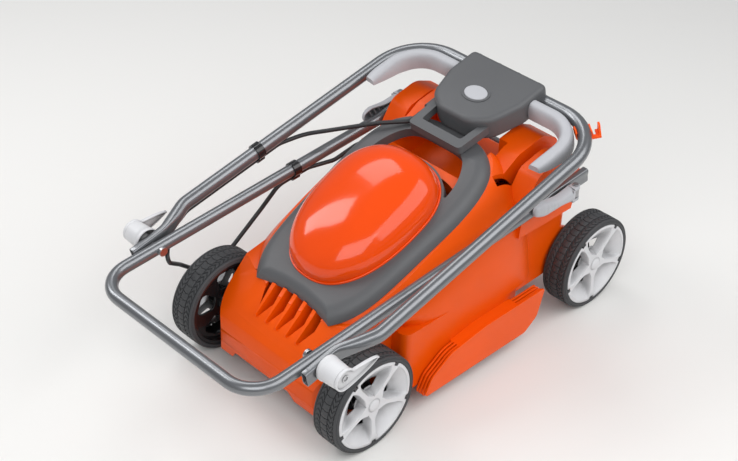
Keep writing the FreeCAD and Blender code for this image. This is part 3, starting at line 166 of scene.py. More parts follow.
def mouldedPlastic(name, colour, rough, mottle=0.06, grain=0.02, grainSize=900.0, gloss=0.5, coat=0.0,
                   waviness=0.0, metallic=0.0, recessShade=0.0):
    # colour drifts slowly, a fine grain breaks the shine and stands up a few hundredths
    material, tree, shader = newMaterial(name)
    nodes, links = tree.nodes, tree.links
    place = nodes.new("ShaderNodeTexCoord")
    drift = nodes.new("ShaderNodeTexNoise")
    drift.inputs["Scale"].default_value = 9.0
    drift.inputs["Detail"].default_value = 3.0
    links.new(place.outputs["Object"], drift.inputs["Vector"])
    fine = nodes.new("ShaderNodeTexNoise")
    fine.inputs["Scale"].default_value = grainSize
    fine.inputs["Detail"].default_value = 2.0
    links.new(place.outputs["Object"], fine.inputs["Vector"])
    shades = nodes.new("ShaderNodeValToRGB")
    base = srgb(*colour)
    shades.color_ramp.elements[0].position = 0.3
    shades.color_ramp.elements[1].position = 0.7
    shades.color_ramp.elements[0].color = tuple(c * (1 - mottle) for c in base[:3]) + (1,)
    shades.color_ramp.elements[1].color = tuple(min(c * (1 + mottle), 1) for c in base[:3]) + (1,)
    links.new(drift.outputs["Fac"], shades.inputs["Fac"])
    paint = shades.outputs["Color"]
    if recessShade:  # painted shade: the colour is darkened by ambient occlusion where the moulding is deep
        hollow = nodes.new("ShaderNodeAmbientOcclusion")
        hollow.inputs["Distance"].default_value = 0.03
        hollow.samples = 8
        keep = nodes.new("ShaderNodeMapRange")
        keep.inputs["From Min"].default_value = 0.4
        keep.inputs["From Max"].default_value = 0.97
        keep.inputs["To Min"].default_value = 1 - recessShade
        links.new(hollow.outputs["AO"], keep.inputs["Value"])
        shaded = nodes.new("ShaderNodeVectorMath")
        shaded.operation = "SCALE"
        links.new(paint, shaded.inputs["Vector"])
        links.new(keep.outputs["Result"], shaded.inputs["Scale"])
        paint = shaded.outputs["Vector"]
    links.new(paint, shader.inputs["Base Color"])
    span = nodes.new("ShaderNodeMapRange")
    span.inputs["To Min"].default_value = rough * 0.82
    span.inputs["To Max"].default_value = rough * 1.18
    links.new(fine.outputs["Fac"], span.inputs["Value"])
    links.new(span.outputs["Result"], shader.inputs["Roughness"])
    bump = nodes.new("ShaderNodeBump")
    bump.inputs["Distance"].default_value = 0.00012
    bump.inputs["Strength"].default_value = grain * 10
    links.new(fine.outputs["Fac"], bump.inputs["Height"])
    last = bump
    if waviness:
        sink = nodes.new("ShaderNodeTexNoise")
        sink.inputs["Scale"].default_value = 28.0
        sink.inputs["Detail"].default_value = 1.0
        links.new(place.outputs["Object"], sink.inputs["Vector"])
        swell = nodes.new("ShaderNodeBump")
        swell.inputs["Distance"].default_value = 0.001
        swell.inputs["Strength"].default_value = waviness
        links.new(sink.outputs["Fac"], swell.inputs["Height"])
        links.new(bump.outputs["Normal"], swell.inputs["Normal"])
        last = swell
    links.new(last.outputs["Normal"], shader.inputs["Normal"])
    shader.inputs["Specular IOR Level"].default_value = gloss
    shader.inputs["Metallic"].default_value = metallic
    shader.inputs["Coat Weight"].default_value = coat
    shader.inputs["Coat Roughness"].default_value = 0.04
    return material


finishes = {
    "orangeShell": mouldedPlastic("orangeShell", (236, 84, 0), 0.36, mottle=0.05, grain=0.012,
                                  waviness=0.04, gloss=0.25),
    "orangeGloss": mouldedPlastic("orangeGloss", (230, 72, 4), 0.14, mottle=0.03, grain=0.002,
                                  gloss=0.25, coat=0.35),
    "greyShell": mouldedPlastic("greyShell", (84, 85, 87), 0.5, mottle=0.06, grain=0.05, grainSize=1500),
    # paleGrip and softGrip carry painted shade in their deep recesses
    "paleGrip": mouldedPlastic("paleGrip", (212, 212, 214), 0.42, mottle=0.03, grain=0.02, recessShade=0.72),
    "softGrip": mouldedPlastic("softGrip", (178, 179, 183), 0.5, mottle=0.03, grain=0.03, recessShade=0.6),
    "blackRim": mouldedPlastic("blackRim", (26, 26, 28), 0.22, mottle=0.1, grain=0.01, coat=0.3),
    "tyreRubber": mouldedPlastic("tyreRubber", (60, 61, 63), 0.62, mottle=0.1, grain=0.08, grainSize=700),
    "tubePaint": mouldedPlastic("tubePaint", (124, 126, 129), 0.3, mottle=0.05, grain=0.003,
                                metallic=0.7, coat=0.3),
    "brightSteel": mouldedPlastic("brightSteel", (168, 168, 170), 0.34, mottle=0.08, grain=0.02, metallic=1.0),
    "blackLead": mouldedPlastic("blackLead", (34, 35, 37), 0.45, mottle=0.08, grain=0.03),
    "copperWire": mouldedPlastic("copperWire", (186, 104, 62), 0.32, mottle=0.12, grain=0.1, metallic=1.0),
    "coreSteel": mouldedPlastic("coreSteel", (120, 122, 126), 0.4, mottle=0.08, grain=0.1, metallic=1.0),
}

# ---- pieces kept from the frame, their edges eased
print("frame pieces")
nodeSlots = {part["node"]: part["material_slot"] for part in frame["record"]["subparts"]}
bodyOf = {name: body_of(node)[0] for name, node in frame["nodes"].items()}


def settle(piece, body, slot, finish, *nodes):
    scene.collection.objects.link(piece)
    piece.data.materials.clear()
    piece.data.materials.append(finish)
    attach(piece, body)
    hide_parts(*nodes)
    return piece


def easeEdges(piece, width, angle, segments=3):
    bevel = piece.modifiers.new("eased", "BEVEL")
    bevel.width, bevel.segments = width * mm, segments
    bevel.limit_method, bevel.angle_limit = "ANGLE", math.radians(angle)
    bevel.harden_normals = True
    return piece


def refined(node, finish, width=0.5, angle=32, flat=0.6, ends=None):
    mesh = bmesh.new()
    mesh.from_mesh(frame["nodes"][node].data)
    bmesh.ops.remove_doubles(mesh, verts=mesh.verts, dist=2e-6)
    bmesh.ops.dissolve_limit(mesh, angle_limit=math.radians(flat), verts=mesh.verts, edges=mesh.edges)
    for face in mesh.faces:
        face.smooth = True
    for edge in mesh.edges:
        edge.smooth = edge.calc_face_angle(0) < math.radians(angle)
    data = bpy.data.meshes.new(node + "Eased")
    mesh.to_mesh(data)
    mesh.free()
    piece = bpy.data.objects.new(node + "Eased", data)
    if ends:
        first, second, start, end = ends
        scene.collection.objects.link(piece)
        data.materials.append(finishes[finish])
        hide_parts(node)
        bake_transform(piece, first, second, start=row(*start), end=row(*end))
        return piece
    settle(piece, bodyOf[node], nodeSlots[node], finishes[finish], node)
    if width:
        easeEdges(piece, width, angle)
    return piece


# ---- one Geometry Nodes tree sets a part out in a row, a ring or a fan
def buildRowTree():
    tree = bpy.data.node_groups.new("rowOfParts", "GeometryNodeTree")
    sockets = (("Part", "NodeSocketObject"), ("Count", "NodeSocketInt"), ("Start", "NodeSocketVector"),
               ("Step", "NodeSocketVector"), ("First turn", "NodeSocketVector"),
               ("Turn step", "NodeSocketVector"),
               ("Uneven", "NodeSocketFloat"), ("Seed", "NodeSocketInt"), ("Finish", "NodeSocketMaterial"))
    ids = {}
    for label, kind in sockets:
        ids[label] = tree.interface.new_socket(label, in_out="INPUT", socket_type=kind).identifier
    tree.interface.new_socket("Geometry", in_out="OUTPUT", socket_type="NodeSocketGeometry")
    nodes, links = tree.nodes, tree.links
    entry, leave = nodes.new("NodeGroupInput"), nodes.new("NodeGroupOutput")
    index = nodes.new("GeometryNodeInputIndex")

    def stepped(first, step):
        scaled = nodes.new("ShaderNodeVectorMath")
        scaled.operation = "SCALE"
        links.new(entry.outputs[step], scaled.inputs["Vector"])
        links.new(index.outputs["Index"], scaled.inputs["Scale"])
        total = nodes.new("ShaderNodeVectorMath")
        total.operation = "ADD"
        links.new(entry.outputs[first], total.inputs[0])
        links.new(scaled.outputs["Vector"], total.inputs[1])
        return total.outputs["Vector"]

    points = nodes.new("GeometryNodePoints")
    links.new(entry.outputs["Count"], points.inputs["Count"])
    links.new(stepped("Start", "Step"), points.inputs["Position"])
    source = nodes.new("GeometryNodeObjectInfo")
    links.new(entry.outputs["Part"], source.inputs["Object"])
    chance = nodes.new("FunctionNodeRandomValue")
    chance.data_type = "FLOAT"
    chance.inputs[2].default_value, chance.inputs[3].default_value = 0.0, 1.0
    links.new(entry.outputs["Seed"], chance.inputs["Seed"])
    shrink = nodes.new("ShaderNodeMath")
    shrink.operation = "MULTIPLY"
    links.new(chance.outputs[1], shrink.inputs[0])
    links.new(entry.outputs["Uneven"], shrink.inputs[1])
    size = nodes.new("ShaderNodeMath")
    size.operation = "SUBTRACT"
    size.inputs[0].default_value = 1.0
    links.new(shrink.outputs[0], size.inputs[1])
    place = nodes.new("GeometryNodeInstanceOnPoints")
    links.new(points.outputs["Points"], place.inputs["Points"])
    links.new(source.outputs["Geometry"], place.inputs["Instance"])
    links.new(stepped("First turn", "Turn step"), place.inputs["Rotation"])
    links.new(size.outputs[0], place.inputs["Scale"])
    real = nodes.new("GeometryNodeRealizeInstances")
    paint = nodes.new("GeometryNodeSetMaterial")
    links.new(place.outputs["Instances"], real.inputs["Geometry"])
    links.new(real.outputs["Geometry"], paint.inputs["Geometry"])
    links.new(entry.outputs["Finish"], paint.inputs["Material"])
    links.new(paint.outputs["Geometry"], leave.inputs["Geometry"])
    return tree, ids


rowTree, rowIds = buildRowTree()


def setOut(part, count, finish, start=(0, 0, 0), step=(0, 0, 0), firstTurn=(0, 0, 0), turnStep=(0, 0, 0),
           uneven=0.0, seed=3):
    # part is a mesh in millimetres; the plain mesh of all its copies comes back
    model = bpy.data.objects.new("model", part)
    host = bpy.data.objects.new("host", bpy.data.meshes.new("host"))
    for thing in (model, host):
        scene.collection.objects.link(thing)
    rule = host.modifiers.new("row", "NODES")
    rule.node_group = rowTree
    values = {"Part": model, "Count": count, "Start": start, "Step": step, "First turn": firstTurn,
              "Turn step": turnStep, "Uneven": uneven, "Seed": seed, "Finish": finish}
    for label, value in values.items():
        rule[rowIds[label]] = value
    mesh = bpy.data.meshes.new_from_object(host.evaluated_get(bpy.context.evaluated_depsgraph_get()))
    host.modifiers.remove(rule)
    bpy.data.objects.remove(host)
    bpy.data.objects.remove(model)
    return mesh


def meshOf(name, points, faces):
    mesh = bpy.data.meshes.new(name)
    mesh.from_pydata([tuple(p) for p in points], [], faces)
    return mesh


def ringFaces(rings, across, closedAcross=True, closedRings=False):
    faces = []
    for i in range(rings if closedRings else rings - 1):
        for j in range(across if closedAcross else across - 1):
            a, b = i * across + j, i * across + (j + 1) % across
            c, d = ((i + 1) % rings) * across + (j + 1) % across, ((i + 1) % rings) * across + j
            faces.append((a, b, c, d))
    return faces


def spun(profile, count=96):
    # (along X, radius) pairs turned about the X axis
    points = []
    for x, r in profile:
        for i in range(count):
            a = 2 * math.pi * i / count
            points.append((x, -r * math.sin(a), r * math.cos(a)))
    return points, ringFaces(len(profile), count)


def gathered(name, meshes, place=None, mirror=False, weld=0.0, angle=35, recalc=False):
    # several meshes become one, put in its place, its sharp edges marked
    mesh = bmesh.new()
    for part in meshes:
        mesh.from_mesh(part)
    if mirror:
        bmesh.ops.scale(mesh, vec=(-1, 1, 1), verts=mesh.verts)
        bmesh.ops.reverse_faces(mesh, faces=mesh.faces)
    if weld:
        bmesh.ops.remove_doubles(mesh, verts=mesh.verts, dist=weld)
    if recalc:
        bmesh.ops.recalc_face_normals(mesh, faces=mesh.faces)
    if place is not None:
        bmesh.ops.transform(mesh, matrix=place, verts=mesh.verts)
    for face in mesh.faces:
        face.smooth = True
    for edge in mesh.edges:
        edge.smooth = edge.calc_face_angle(0) < math.radians(angle)
    data = bpy.data.meshes.new(name)
    mesh.to_mesh(data)
    mesh.free()
    return bpy.data.objects.new(name, data)


scaleMm = Matrix.Scale(mm, 4)

# ---- wheels
print("wheels")
tyreSet = {"outer": 82.0, "base": 80.2, "half": 24.0, "centreBlocks": 44, "sideLugs": 58,
           "slant": 0.07, "tabHalf": 2.3}
wheelSet = {"x": 162.8, "y": 258.3, "z": 82.0}
capSet = {"spokes": 5, "pocketR": 68.0, "hubR": 16.5, "thin": 3.7, "slope": 0.7, "deep": 17.0,
          "wall": 4.2, "half": 24.0}
allSpokes = [math.radians(36 + 72 * i) for i in range(5)]


def treadBlock(x0, x1, phi0, phi1, slant, low, top, ease=0.55, slices=3):
    # one block of rubber on the tread, its sides easing up to the worn face
    points, faces = [], []
    for level, r, shrink in ((0, low, 0.0), (1, top - 0.25, 0.35 * ease), (2, top, ease)):
        for i in range(slices + 1):
            share = i / slices
            for x, lean in ((x0 + shrink, 0.0), ((x0 + x1) / 2, slant), (x1 - shrink, 0.0)):
                phi = phi0 + shrink / top + (phi1 - phi0 - 2 * shrink / top) * share + lean
                points.append((x, -r * math.sin(phi), r * math.cos(phi)))
    across = 3
    perLevel = (slices + 1) * across

    def at(level, i, j):
        return level * perLevel + i * across + j

    edge = [(0, j) for j in range(across)] + [(i, across - 1) for i in range(1, slices + 1)]
    edge += [(slices, j) for j in range(across - 2, -1, -1)] + [(i, 0) for i in range(slices - 1, 0, -1)]
    for level in (0, 1):
        for k, (i, j) in enumerate(edge):
            m, n = edge[(k + 1) % len(edge)]
            faces.append((at(level, i, j), at(level, m, n), at(level + 1, m, n), at(level + 1, i, j)))
    for i in range(slices):
        for j in range(across - 1):
            faces.append((at(2, i, j), at(2, i, j + 1), at(2, i + 1, j + 1), at(2, i + 1, j)))
    return meshOf("block", points, faces)


def makeTyre():
    s = tyreSet
    base, half, rubber = s["base"], s["half"], finishes["tyreRubber"]
    sides = []
    for x, r in ((0, 73.2), (1.2, 73.3), (0.35, 73.5), (0, 73.9), (0, 77.2), (0.25, 77.6), (1.0, 77.9),
                 (1.0, 78.5), (0.5, 78.9), (0.7, 79.8), (1.7, 80.9), (3.2, 81.6), (4.4, 81.7),
                 (4.9, base + 0.3), (5.6, base)):
        sides.append((x, r))
    profile = [(half - x, r) for x, r in sides[1:]] + [(-half + x, r) for x, r in reversed(sides[1:])]
    profile += [(-half + 1.2, 73.25)]
    points, faces = spun(profile, 144)
    faces += [(len(profile) * 144 - 144 + i, len(profile) * 144 - 144 + (i + 1) % 144, (i + 1) % 144, i)
              for i in range(144)]
    meshes = [meshOf("carcass", points, faces)]
    pitch = 2 * math.pi / s["centreBlocks"]
    centre = treadBlock(-6.8, 6.8, 0, pitch - 0.011, 0.02, base - 0.5, s["outer"])
    meshes.append(setOut(centre, s["centreBlocks"], rubber, turnStep=(pitch, 0, 0), uneven=0.0))
    pitch = 2 * math.pi / s["sideLugs"]
    for x0, x1, slant in ((8.0, 17.8, s["slant"]), (-17.8, -8.0, -s["slant"])):
        lug = treadBlock(x0, x1, 0, pitch * 0.66, slant, base - 0.5, s["outer"] - 0.1)
        meshes.append(setOut(lug, s["sideLugs"], rubber, turnStep=(pitch, 0, 0)))
    tab = treadBlock(19.6, 23.8, -s["tabHalf"] / 70, s["tabHalf"] / 70, 0, 67.4, 74.2, ease=0.3)
    meshes.append(setOut(tab, capSet["spokes"], rubber, firstTurn=(allSpokes[0], 0, 0),
                         turnStep=(2 * math.pi / 5, 0, 0)))
    return meshes


def makeHubcap():
    s = capSet
    radii = [11.6, 12.6, 14.0, 15.5, 17.0, 18.5, 20.0, 22.0, 24.0, 26.5, 30, 34, 38, 41, 45, 50, 54.5,
             58.5, 61.5, 64, 66, 67.2, 68.0, 68.7, 69.5, 71.0, 72.4, 73.0]
    sector = 2 * math.pi / s["spokes"]
    columns = [0, 0.5, 0.86, 1.0] + [1 + 0.2 * k for k in range(1, 6)]  # 0-1 over the spoke, 1-2 down its wall
    floor = [2 + k / 5 for k in range(1, 6)]  # 2-3 from the wall's foot to mid-window
    half = columns + floor
    shares = half + [6 - c for c in reversed(half[:-1])]
    points = []
    for r in radii:
        spread = s["thin"] + 0.040 * max(0.0, 31 - r) ** 2 + 0.012 * max(0.0, r - 50) ** 2
        limit = sector / 2
        spoke = min(math.asin(min(spread / r, 0.99)), limit * 0.985)
        wall = min(s["wall"] / r, (limit - spoke) * 0.72)
        for k in range(s["spokes"]):
            for c in shares[:-1]:
                m = c if c <= 3 else 6 - c
                if m <= 1:
                    phi = spoke * m
                elif m <= 2:
                    phi = spoke + wall * (m - 1)
                else:
                    phi = spoke + wall + (limit - spoke - wall) * (m - 2)
                down = min(max((m - 1), 0.0), 1.0)
                down = down * down * (3 - 2 * down)
                if m > 2:
                    down = 1.0
                cone = min((s["pocketR"] - r) * s["slope"] + 0.6, s["deep"]) if r < s["pocketR"] else 0.0
                cone *= min(max((r - s["hubR"]) / 5.5, 0.0), 1.0)
                crown = 0.5 * min(m, 1.0) ** 2
                sag = 2.6 * min(max((62 - r) / 30, 0.0), 1.0)
                edge = 1.1 * max(0.0, (r - 71.0) / 2.0) ** 2
                x = s["half"] - 0.05 - sag + crown * 0.6 - down * max(cone - sag, 0.0) - edge
                if m < 0.3 and r > 60:
                    x -= 0.25
                sign = 1 if c <= 3 else -1
                angle = allSpokes[0] + k * sector + (phi if sign > 0 else sector - phi)
                points.append((x, -r * math.sin(angle), r * math.cos(angle)))
    across = s["spokes"] * (len(shares) - 1)
    faces = []
    perSector = len(shares) - 1
    for i in range(len(radii) - 1):
        for j in range(across):
            m = shares[j % perSector] + 0.05
            nearSpoke = m < 0.5 or m > 5.5
            if radii[i] >= 67.2 and nearSpoke:
                continue  # the rim is notched at the end of each spoke
            if 26 <= radii[i] < 41 and 2.0 <= m <= 3.99:
                continue  # the bottom of each pocket is open
            a, b = i * across + j, i * across + (j + 1) % across
            faces.append((a, a + across, b + across, b))
    cap = meshOf("cap", points, faces)
    x = s["half"] - 2.7
    boss = [(x, 11.7), (x - 1.0, 11.5), (x - 2.2, 10.9), (x - 2.4, 10.2), (x - 2.2, 9.7), (x - 0.5, 9.4),
            (x + 0.5, 8.6), (x + 1.1, 6.8), (x + 1.5, 3.5), (x + 1.6, 0.05)]
    points, faces = spun(boss, 60)
    faces = [tuple(reversed(f)) for f in faces]
    faces.append(tuple(range(len(points) - 60, len(points))))
    return [cap, meshOf("boss", points, faces)]


tyreMeshes, capMeshes = makeTyre(), makeHubcap()
for end, y in (("front", -wheelSet["y"]), ("rear", wheelSet["y"])):
    for side, sign in (("left", -1), ("right", 1)):
        place = Matrix.Translation(row(sign * wheelSet["x"], y, wheelSet["z"])) @ scaleMm
        corner = f"{end}_{side}"
        tyre = gathered(corner + "_tread", tyreMeshes, place, sign < 0, angle=40)
        settle(tyre, corner + "_wheel", "tyre", finishes["tyreRubber"], corner + "_tyre")
        cap = gathered(corner + "_cover", capMeshes, place, sign < 0, angle=50)
        settle(cap, corner + "_wheel", "light_grey_plastic", finishes["paleGrip"], corner + "_hubcap")
        wall = cap.modifiers.new("wall", "SOLIDIFY")
        wall.thickness, wall.offset = 1.4 * mm, -1
        refined(corner + "_wheel", "blackRim", width=0.8)


# ---- the drawing's tilted frames: cowl and motor cover, upper handle, lower handle
def tilted(y, z, degrees):
    return Matrix.Translation(row(0, y, z)) @ Matrix.Rotation(math.radians(degrees), 4, "X") @ scaleMm


leanPlace = tilted(0, 280, 24.2277)
upperPlace = tilted(209, 366, 13.482)
lowerPlace = tilted(165, 270.9475, 4.6593)
levelPlace = tilted(0, 0, 0)


def lofted(name, rings, caps=(True, True)):
    across = len(rings[0])
    faces = ringFaces(len(rings), across)
    for wanted, first in ((caps[0], 0), (caps[1], (len(rings) - 1) * across)):
        if wanted:
            faces.append(tuple(range(first, first + across)))
    return meshOf(name, [p for ring in rings for p in ring], faces)


# ---- motor cover
print("motor cover")
domeSet = {"mid": -84.0, "front": 157.0, "back": 104.0, "half": 96.0, "plan": 2.35, "full": 2.4, "rise": 58.0,
           "seat": 15.0, "step": 2.5, "wall": 2.6, "around": 144}


def eggRing(grow, w, share=1.0):
    d, ring = domeSet, []
    for i in range(d["around"]):
        t = 2 * math.pi * i / d["around"]
        c, n = math.cos(t), math.sin(t)
        length = (d["front"] if n < 0 else d["back"]) + grow
        x = share * (d["half"] + grow) * math.copysign(abs(c) ** (2 / d["plan"]), c)
        v = share * length * math.copysign(abs(n) ** (2 / d["plan"]), n)
        ring.append((x, d["mid"] + v, w))
    return ring


def domeRings(grow, rise, low, steps=34):
    rings = []
    for i in range(steps):
        a = math.radians(89.2 * i / (steps - 1))
        c, n = math.cos(a), math.sin(a)
        rings.append(eggRing(grow, low + rise * n ** (2 / domeSet["full"]), c ** (2 / domeSet["full"])))
    return rings


d = domeSet
flangeEdge = ((-0.3, 0), (0, 0.4), (0, 4.6), (-0.25, 5.4), (-0.9, 5.9), (-1.7, 6.0), (-2.3, 5.7), (-2.55, 5.2))
flange = [eggRing(grow, d["seat"] + rise) for grow, rise in flangeEdge]
outside = flange + domeRings(-d["step"] - 0.2, d["rise"], d["seat"] + 5.2)
within = domeRings(-d["step"] - d["wall"], d["rise"] - d["wall"], d["seat"] + 5.0)
cover = [lofted("coverOut", [flange[0]] + outside[1:], (False, True)),
         lofted("coverIn", [flange[0], eggRing(-d["step"] - d["wall"], d["seat"])] + within, (False, True))]
dome = gathered("motorCover", cover, leanPlace, weld=0.01, angle=50, recalc=True)
settle(dome, bodyOf["motor_cover"], "orange_gloss", finishes["orangeGloss"], "motor_cover")


# ---- handle tubes
print("handles")


def bentPath(points, radii, arcSteps=12, gap=11.0):
    points = [Vector(p) for p in points]
    line = [points[0]]
    for before, corner, after, radius in zip(points, points[1:], points[2:], radii):
        into, out = (corner - before).normalized(), (after - corner).normalized()
        turn = into.angle(out)
        start = corner - into * radius * math.tan(turn / 2)
        axis = into.cross(out).normalized()
        centre = start + axis.cross(into) * radius
        for i in range(arcSteps + 1):
            line.append(centre + Quaternion(axis, turn * i / arcSteps) @ (start - centre))
    line.append(points[-1])
    even = [line[0]]
    for a, b in zip(line, line[1:]):
        pieces = max(1, round((b - a).length / gap))
        even += [a.lerp(b, i / pieces) for i in range(1, pieces + 1)]
    return even


def smooth(t):
    t = min(max(t, 0.0), 1.0)
    return t * t * (3 - 2 * t)


def pressedTube(name, path, s):
    # a bent tube, its two ends pressed flat with a crease and left open
    lengths = [0.0]
    for a, b in zip(path, path[1:]):
        lengths.append(lengths[-1] + (b - a).length)

    def ringAt(i, inward=0.0, along=0.0):
        ahead = path[min(i + 1, len(path) - 1)] - path[max(i - 1, 0)]
        ahead.normalize()
        side, up = ahead.cross(Vector((0, 0, 1))), Vector((0, 0, 1))
        near = min(lengths[i], lengths[-1] - lengths[i])
        m = smooth((near - s["flat"]) / s["ease"])
        wide = s["half"] + (s["r"] - s["half"]) * m - inward
        tall = s["tall"] + (s["r"] - s["tall"]) * m - inward
        power = 5.0 - 3.0 * m ** 0.5
        ring = []
        for k in range(s["around"]):
            a = 2 * math.pi * k / s["around"]
            c, n = math.cos(a), math.sin(a)
            x = wide * math.copysign(abs(c) ** (2 / power), c)
            z = tall * math.copysign(abs(n) ** (2 / power), n)
            x *= 1 - s["crease"] * (1 - m) * math.exp(-(z / 3.2) ** 2)
            ring.append(path[i] + ahead * along + side * x + up * z)
        return ring

    rings = [ringAt(0, s["wall"] + 0.2, 24.0), ringAt(0, s["wall"], 1.0)]
    rings += [ringAt(0, s["wall"] * 0.8), ringAt(0, 0.25)]
    rings += [ringAt(i, 0.0, 0.3 if i == 0 else 0.0) for i in range(len(path) - 1)]
    last = len(path) - 1
    rings += [ringAt(last, 0.0, -0.3), ringAt(last, 0.25), ringAt(last, s["wall"] * 0.8),
              ringAt(last, s["wall"], -1.0), ringAt(last, s["wall"] + 0.2, -24.0)]
    return lofted(name, rings)


lowerSet = {"r": 10.0, "half": 6.4, "tall": 12.4, "flat": 84.0, "ease": 34.0, "wall": 1.6,
            "crease": 0.16, "around": 40}
upperSet = {"r": 11.0, "half": 6.4, "tall": 12.4, "flat": 56.0, "ease": 44.0, "wall": 1.6,
            "crease": 0.2, "around": 44}
lowerPath = bentPath([(-172, 47.2, 0), (-172, -647.1, 0), (172, -647.1, 0), (172, 47.2, 0)], [51, 51])
upperPath = bentPath([(-189, -628.3, 0), (-189, -566.6, 0), (-213, -509, 0), (-204, 0, 0), (204, 0, 0),
                      (213, -509, 0), (189, -566.6, 0), (189, -628.3, 0)], [40, 40, 85, 85, 40, 40])
for label, node, path, sizes, place in (("lowerTube", "lower_handle", lowerPath, lowerSet, lowerPlace),
                                        ("upperTube", "upper_handle", upperPath, upperSet, upperPlace)):
    tube = gathered(label, [pressedTube(label, path, sizes)], place, angle=40, recalc=True)
    settle(tube, bodyOf[node], "tube_paint", finishes["tubePaint"], node)

# ---- clamping knobs
print("knobs")
knobSet = {"y": -369.0, "z": 227.4265, "in": 195.9, "out": 229.8, "leafR": 17.4, "leaf": 64.0,
           "rise": 7.0, "face": 235.15}


def leafRing(x, grow):
    # outline of the wing in side view, round about the bolt and drawn out to a tip
    s, count = knobSet, 40
    r, length = s["leafR"] + grow, s["leaf"] + grow
    upper, lower = [], []
    for i in range(count + 1):
        share = (1 - math.cos(math.pi * i / count)) / 2
        a = -r + (length + r) * share
        disc = math.sqrt(max(r * r - a * a, 0.0))
        wing = (9.5 + grow) * math.sqrt(max(1 - (max(a, 0.0) / length) ** 2.2, 0.0)) if a > 0 else 0.0
        top = (disc ** 4 + wing ** 4) ** 0.25
        bottom = disc if a < 0 else r * max(1 - (a / length) ** 1.35, 0.0) ** 0.75
        lift = s["rise"] * (max(a, 0.0) / s["leaf"]) ** 1.3
        upper.append((x, s["y"] + a, s["z"] + top + lift * 0.7))
        lower.append((x, s["y"] + a, s["z"] - bottom + lift * (1 if a > 0 else 0)))
    tip = (x, s["y"] + length, s["z"] + s["rise"] * 0.9)
    upper[-1] = tip
    return upper + lower[-2:0:-1]


def makeKnob():
    s = knobSet
    foot, end = s["in"], s["out"]
    turned = [(foot + 6, 0.06), (foot + 6, 4.0), (foot + 0.4, 4.4), (foot + 0.1, 5.0), (foot + 0.1, 8.0),
              (foot + 0.8, 8.6), (foot + 13, 8.9), (foot + 14, 10), (foot + 14, 16), (foot + 13, 17.0),
              (foot + 1.0, 17.6), (foot + 0.2, 18.2), (foot, 18.9), (foot + 0.5, 19.7), (foot + 1.8, 20.0),
              (foot + 5.6, 19.9), (foot + 6.4, 19.5), (foot + 7.0, 19.1), (foot + 14, 18.8),
              (foot + 22, 18.3), (foot + 30, 17.7), (end, 17.2), (end + 0.4, 16.0), (end + 0.4, 0.06)]
    points, faces = spun(turned, 64)
    barrel = meshOf("barrel", [(x, y + s["y"], z + s["z"]) for x, y, z in points], faces)
    face = s["face"]
    levels = ((face - 3.6, -3.4), (face - 5.2, -3.0), (face - 5.9, -2.6), (face - 6.1, -1.9), (face - 5.9, -1.0),
              (face - 5.0, -0.3), (face - 3.6, 0.0), (face - 1.0, 0.0), (face - 0.35, -0.25), (face, -0.9),
              (face - 0.05, -1.7), (face - 0.5, -2.3), (face - 4.5, -3.1), (face - 5.0, -3.9))
    leaf = lofted("leaf", [leafRing(x, grow) for x, grow in levels])
    eye = [(face - 5.3, 5.8), (face - 2.8, 5.4), (face - 2.0, 5.2), (face - 1.8, 4.6), (face - 2.0, 4.0),
           (face - 5.0, 3.6), (face - 5.2, 0.05)]
    points, faces = spun(eye, 32)
    socket = meshOf("socket", [(x, y + s["y"] + 1.5, z + s["z"] + 1.0) for x, y, z in points], faces)
    return [barrel, leaf, socket]


knobMeshes = makeKnob()
for side, sign in (("left", -1), ("right", 1)):
    knob = gathered(f"knob_{side}_shape", knobMeshes, levelPlace, sign < 0, weld=0.02, angle=48, recalc=True)
    settle(knob, f"knob_{side}", "light_grey_plastic", finishes["paleGrip"], f"knob_{side}")

# ---- start levers and clamp levers, all hollow mouldings
print("levers")


def archRing(half, low, top, shoulder=3.0, count=18):
    ring = []
    for i in range(count + 1):
        t = math.pi * (1 - i / count)
        c, n = math.cos(t), math.sin(t)
        a = half * math.copysign(abs(c) ** (2 / shoulder), c)
        ring.append((a, low + (top - low) * max(n, 0.0) ** (2 / shoulder)))
    return ring


def channel(name, stations, wall, shoulder=3.0):
    # a trough open along its low side, closed at its far end; a station is (place, half, low, top)
    points, faces = [], []
    for place, half, low, top in stations:
        outer = archRing(half, low, top, shoulder)
        inner = archRing(max(half - wall, 0.4), low, top - wall, shoulder)
        across = len(outer)
        points += [place(a, b) for a, b in outer] + [place(a, b) for a, b in reversed(inner)]
    ring = 2 * across
    faces += ringFaces(len(stations) - 1, ring)
    faces.append(tuple(reversed(range(ring))))  # the open end
    last = (len(stations) - 2) * ring
    tip = last + ring
    faces.append(tuple(range(last + across, last + ring)))
    for j in range(across - 1):
        faces.append((last + j, last + j + 1, tip + j + 1, tip + j))
    faces.append((last + across - 1, last + across, last + ring - 1, last, tip, tip + across - 1))
    faces.append(tuple(range(tip, tip + across)))
    return meshOf(name, points[:tip + across], faces)


def plate(xs, ys, zs):
    points = [(x, y, z) for z in zs for y in ys for x in xs]
    faces = [(0, 2, 3, 1), (4, 5, 7, 6), (0, 1, 5, 4), (2, 6, 7, 3), (0, 4, 6, 2), (1, 3, 7, 5)]
    return meshOf("plate", points, faces)


startSet = {"x": 119.0, "u": -85.0, "mid": 58.0, "half": 12.0, "low": -8.0, "top": 20.0, "from": 79.0,
            "to": -137.0, "wall": 2.4, "hubR": 8.0, "boreR": 4.4, "shaft": (-25.0, 8.0),
            "ribs": 5, "ribTurn": 16}


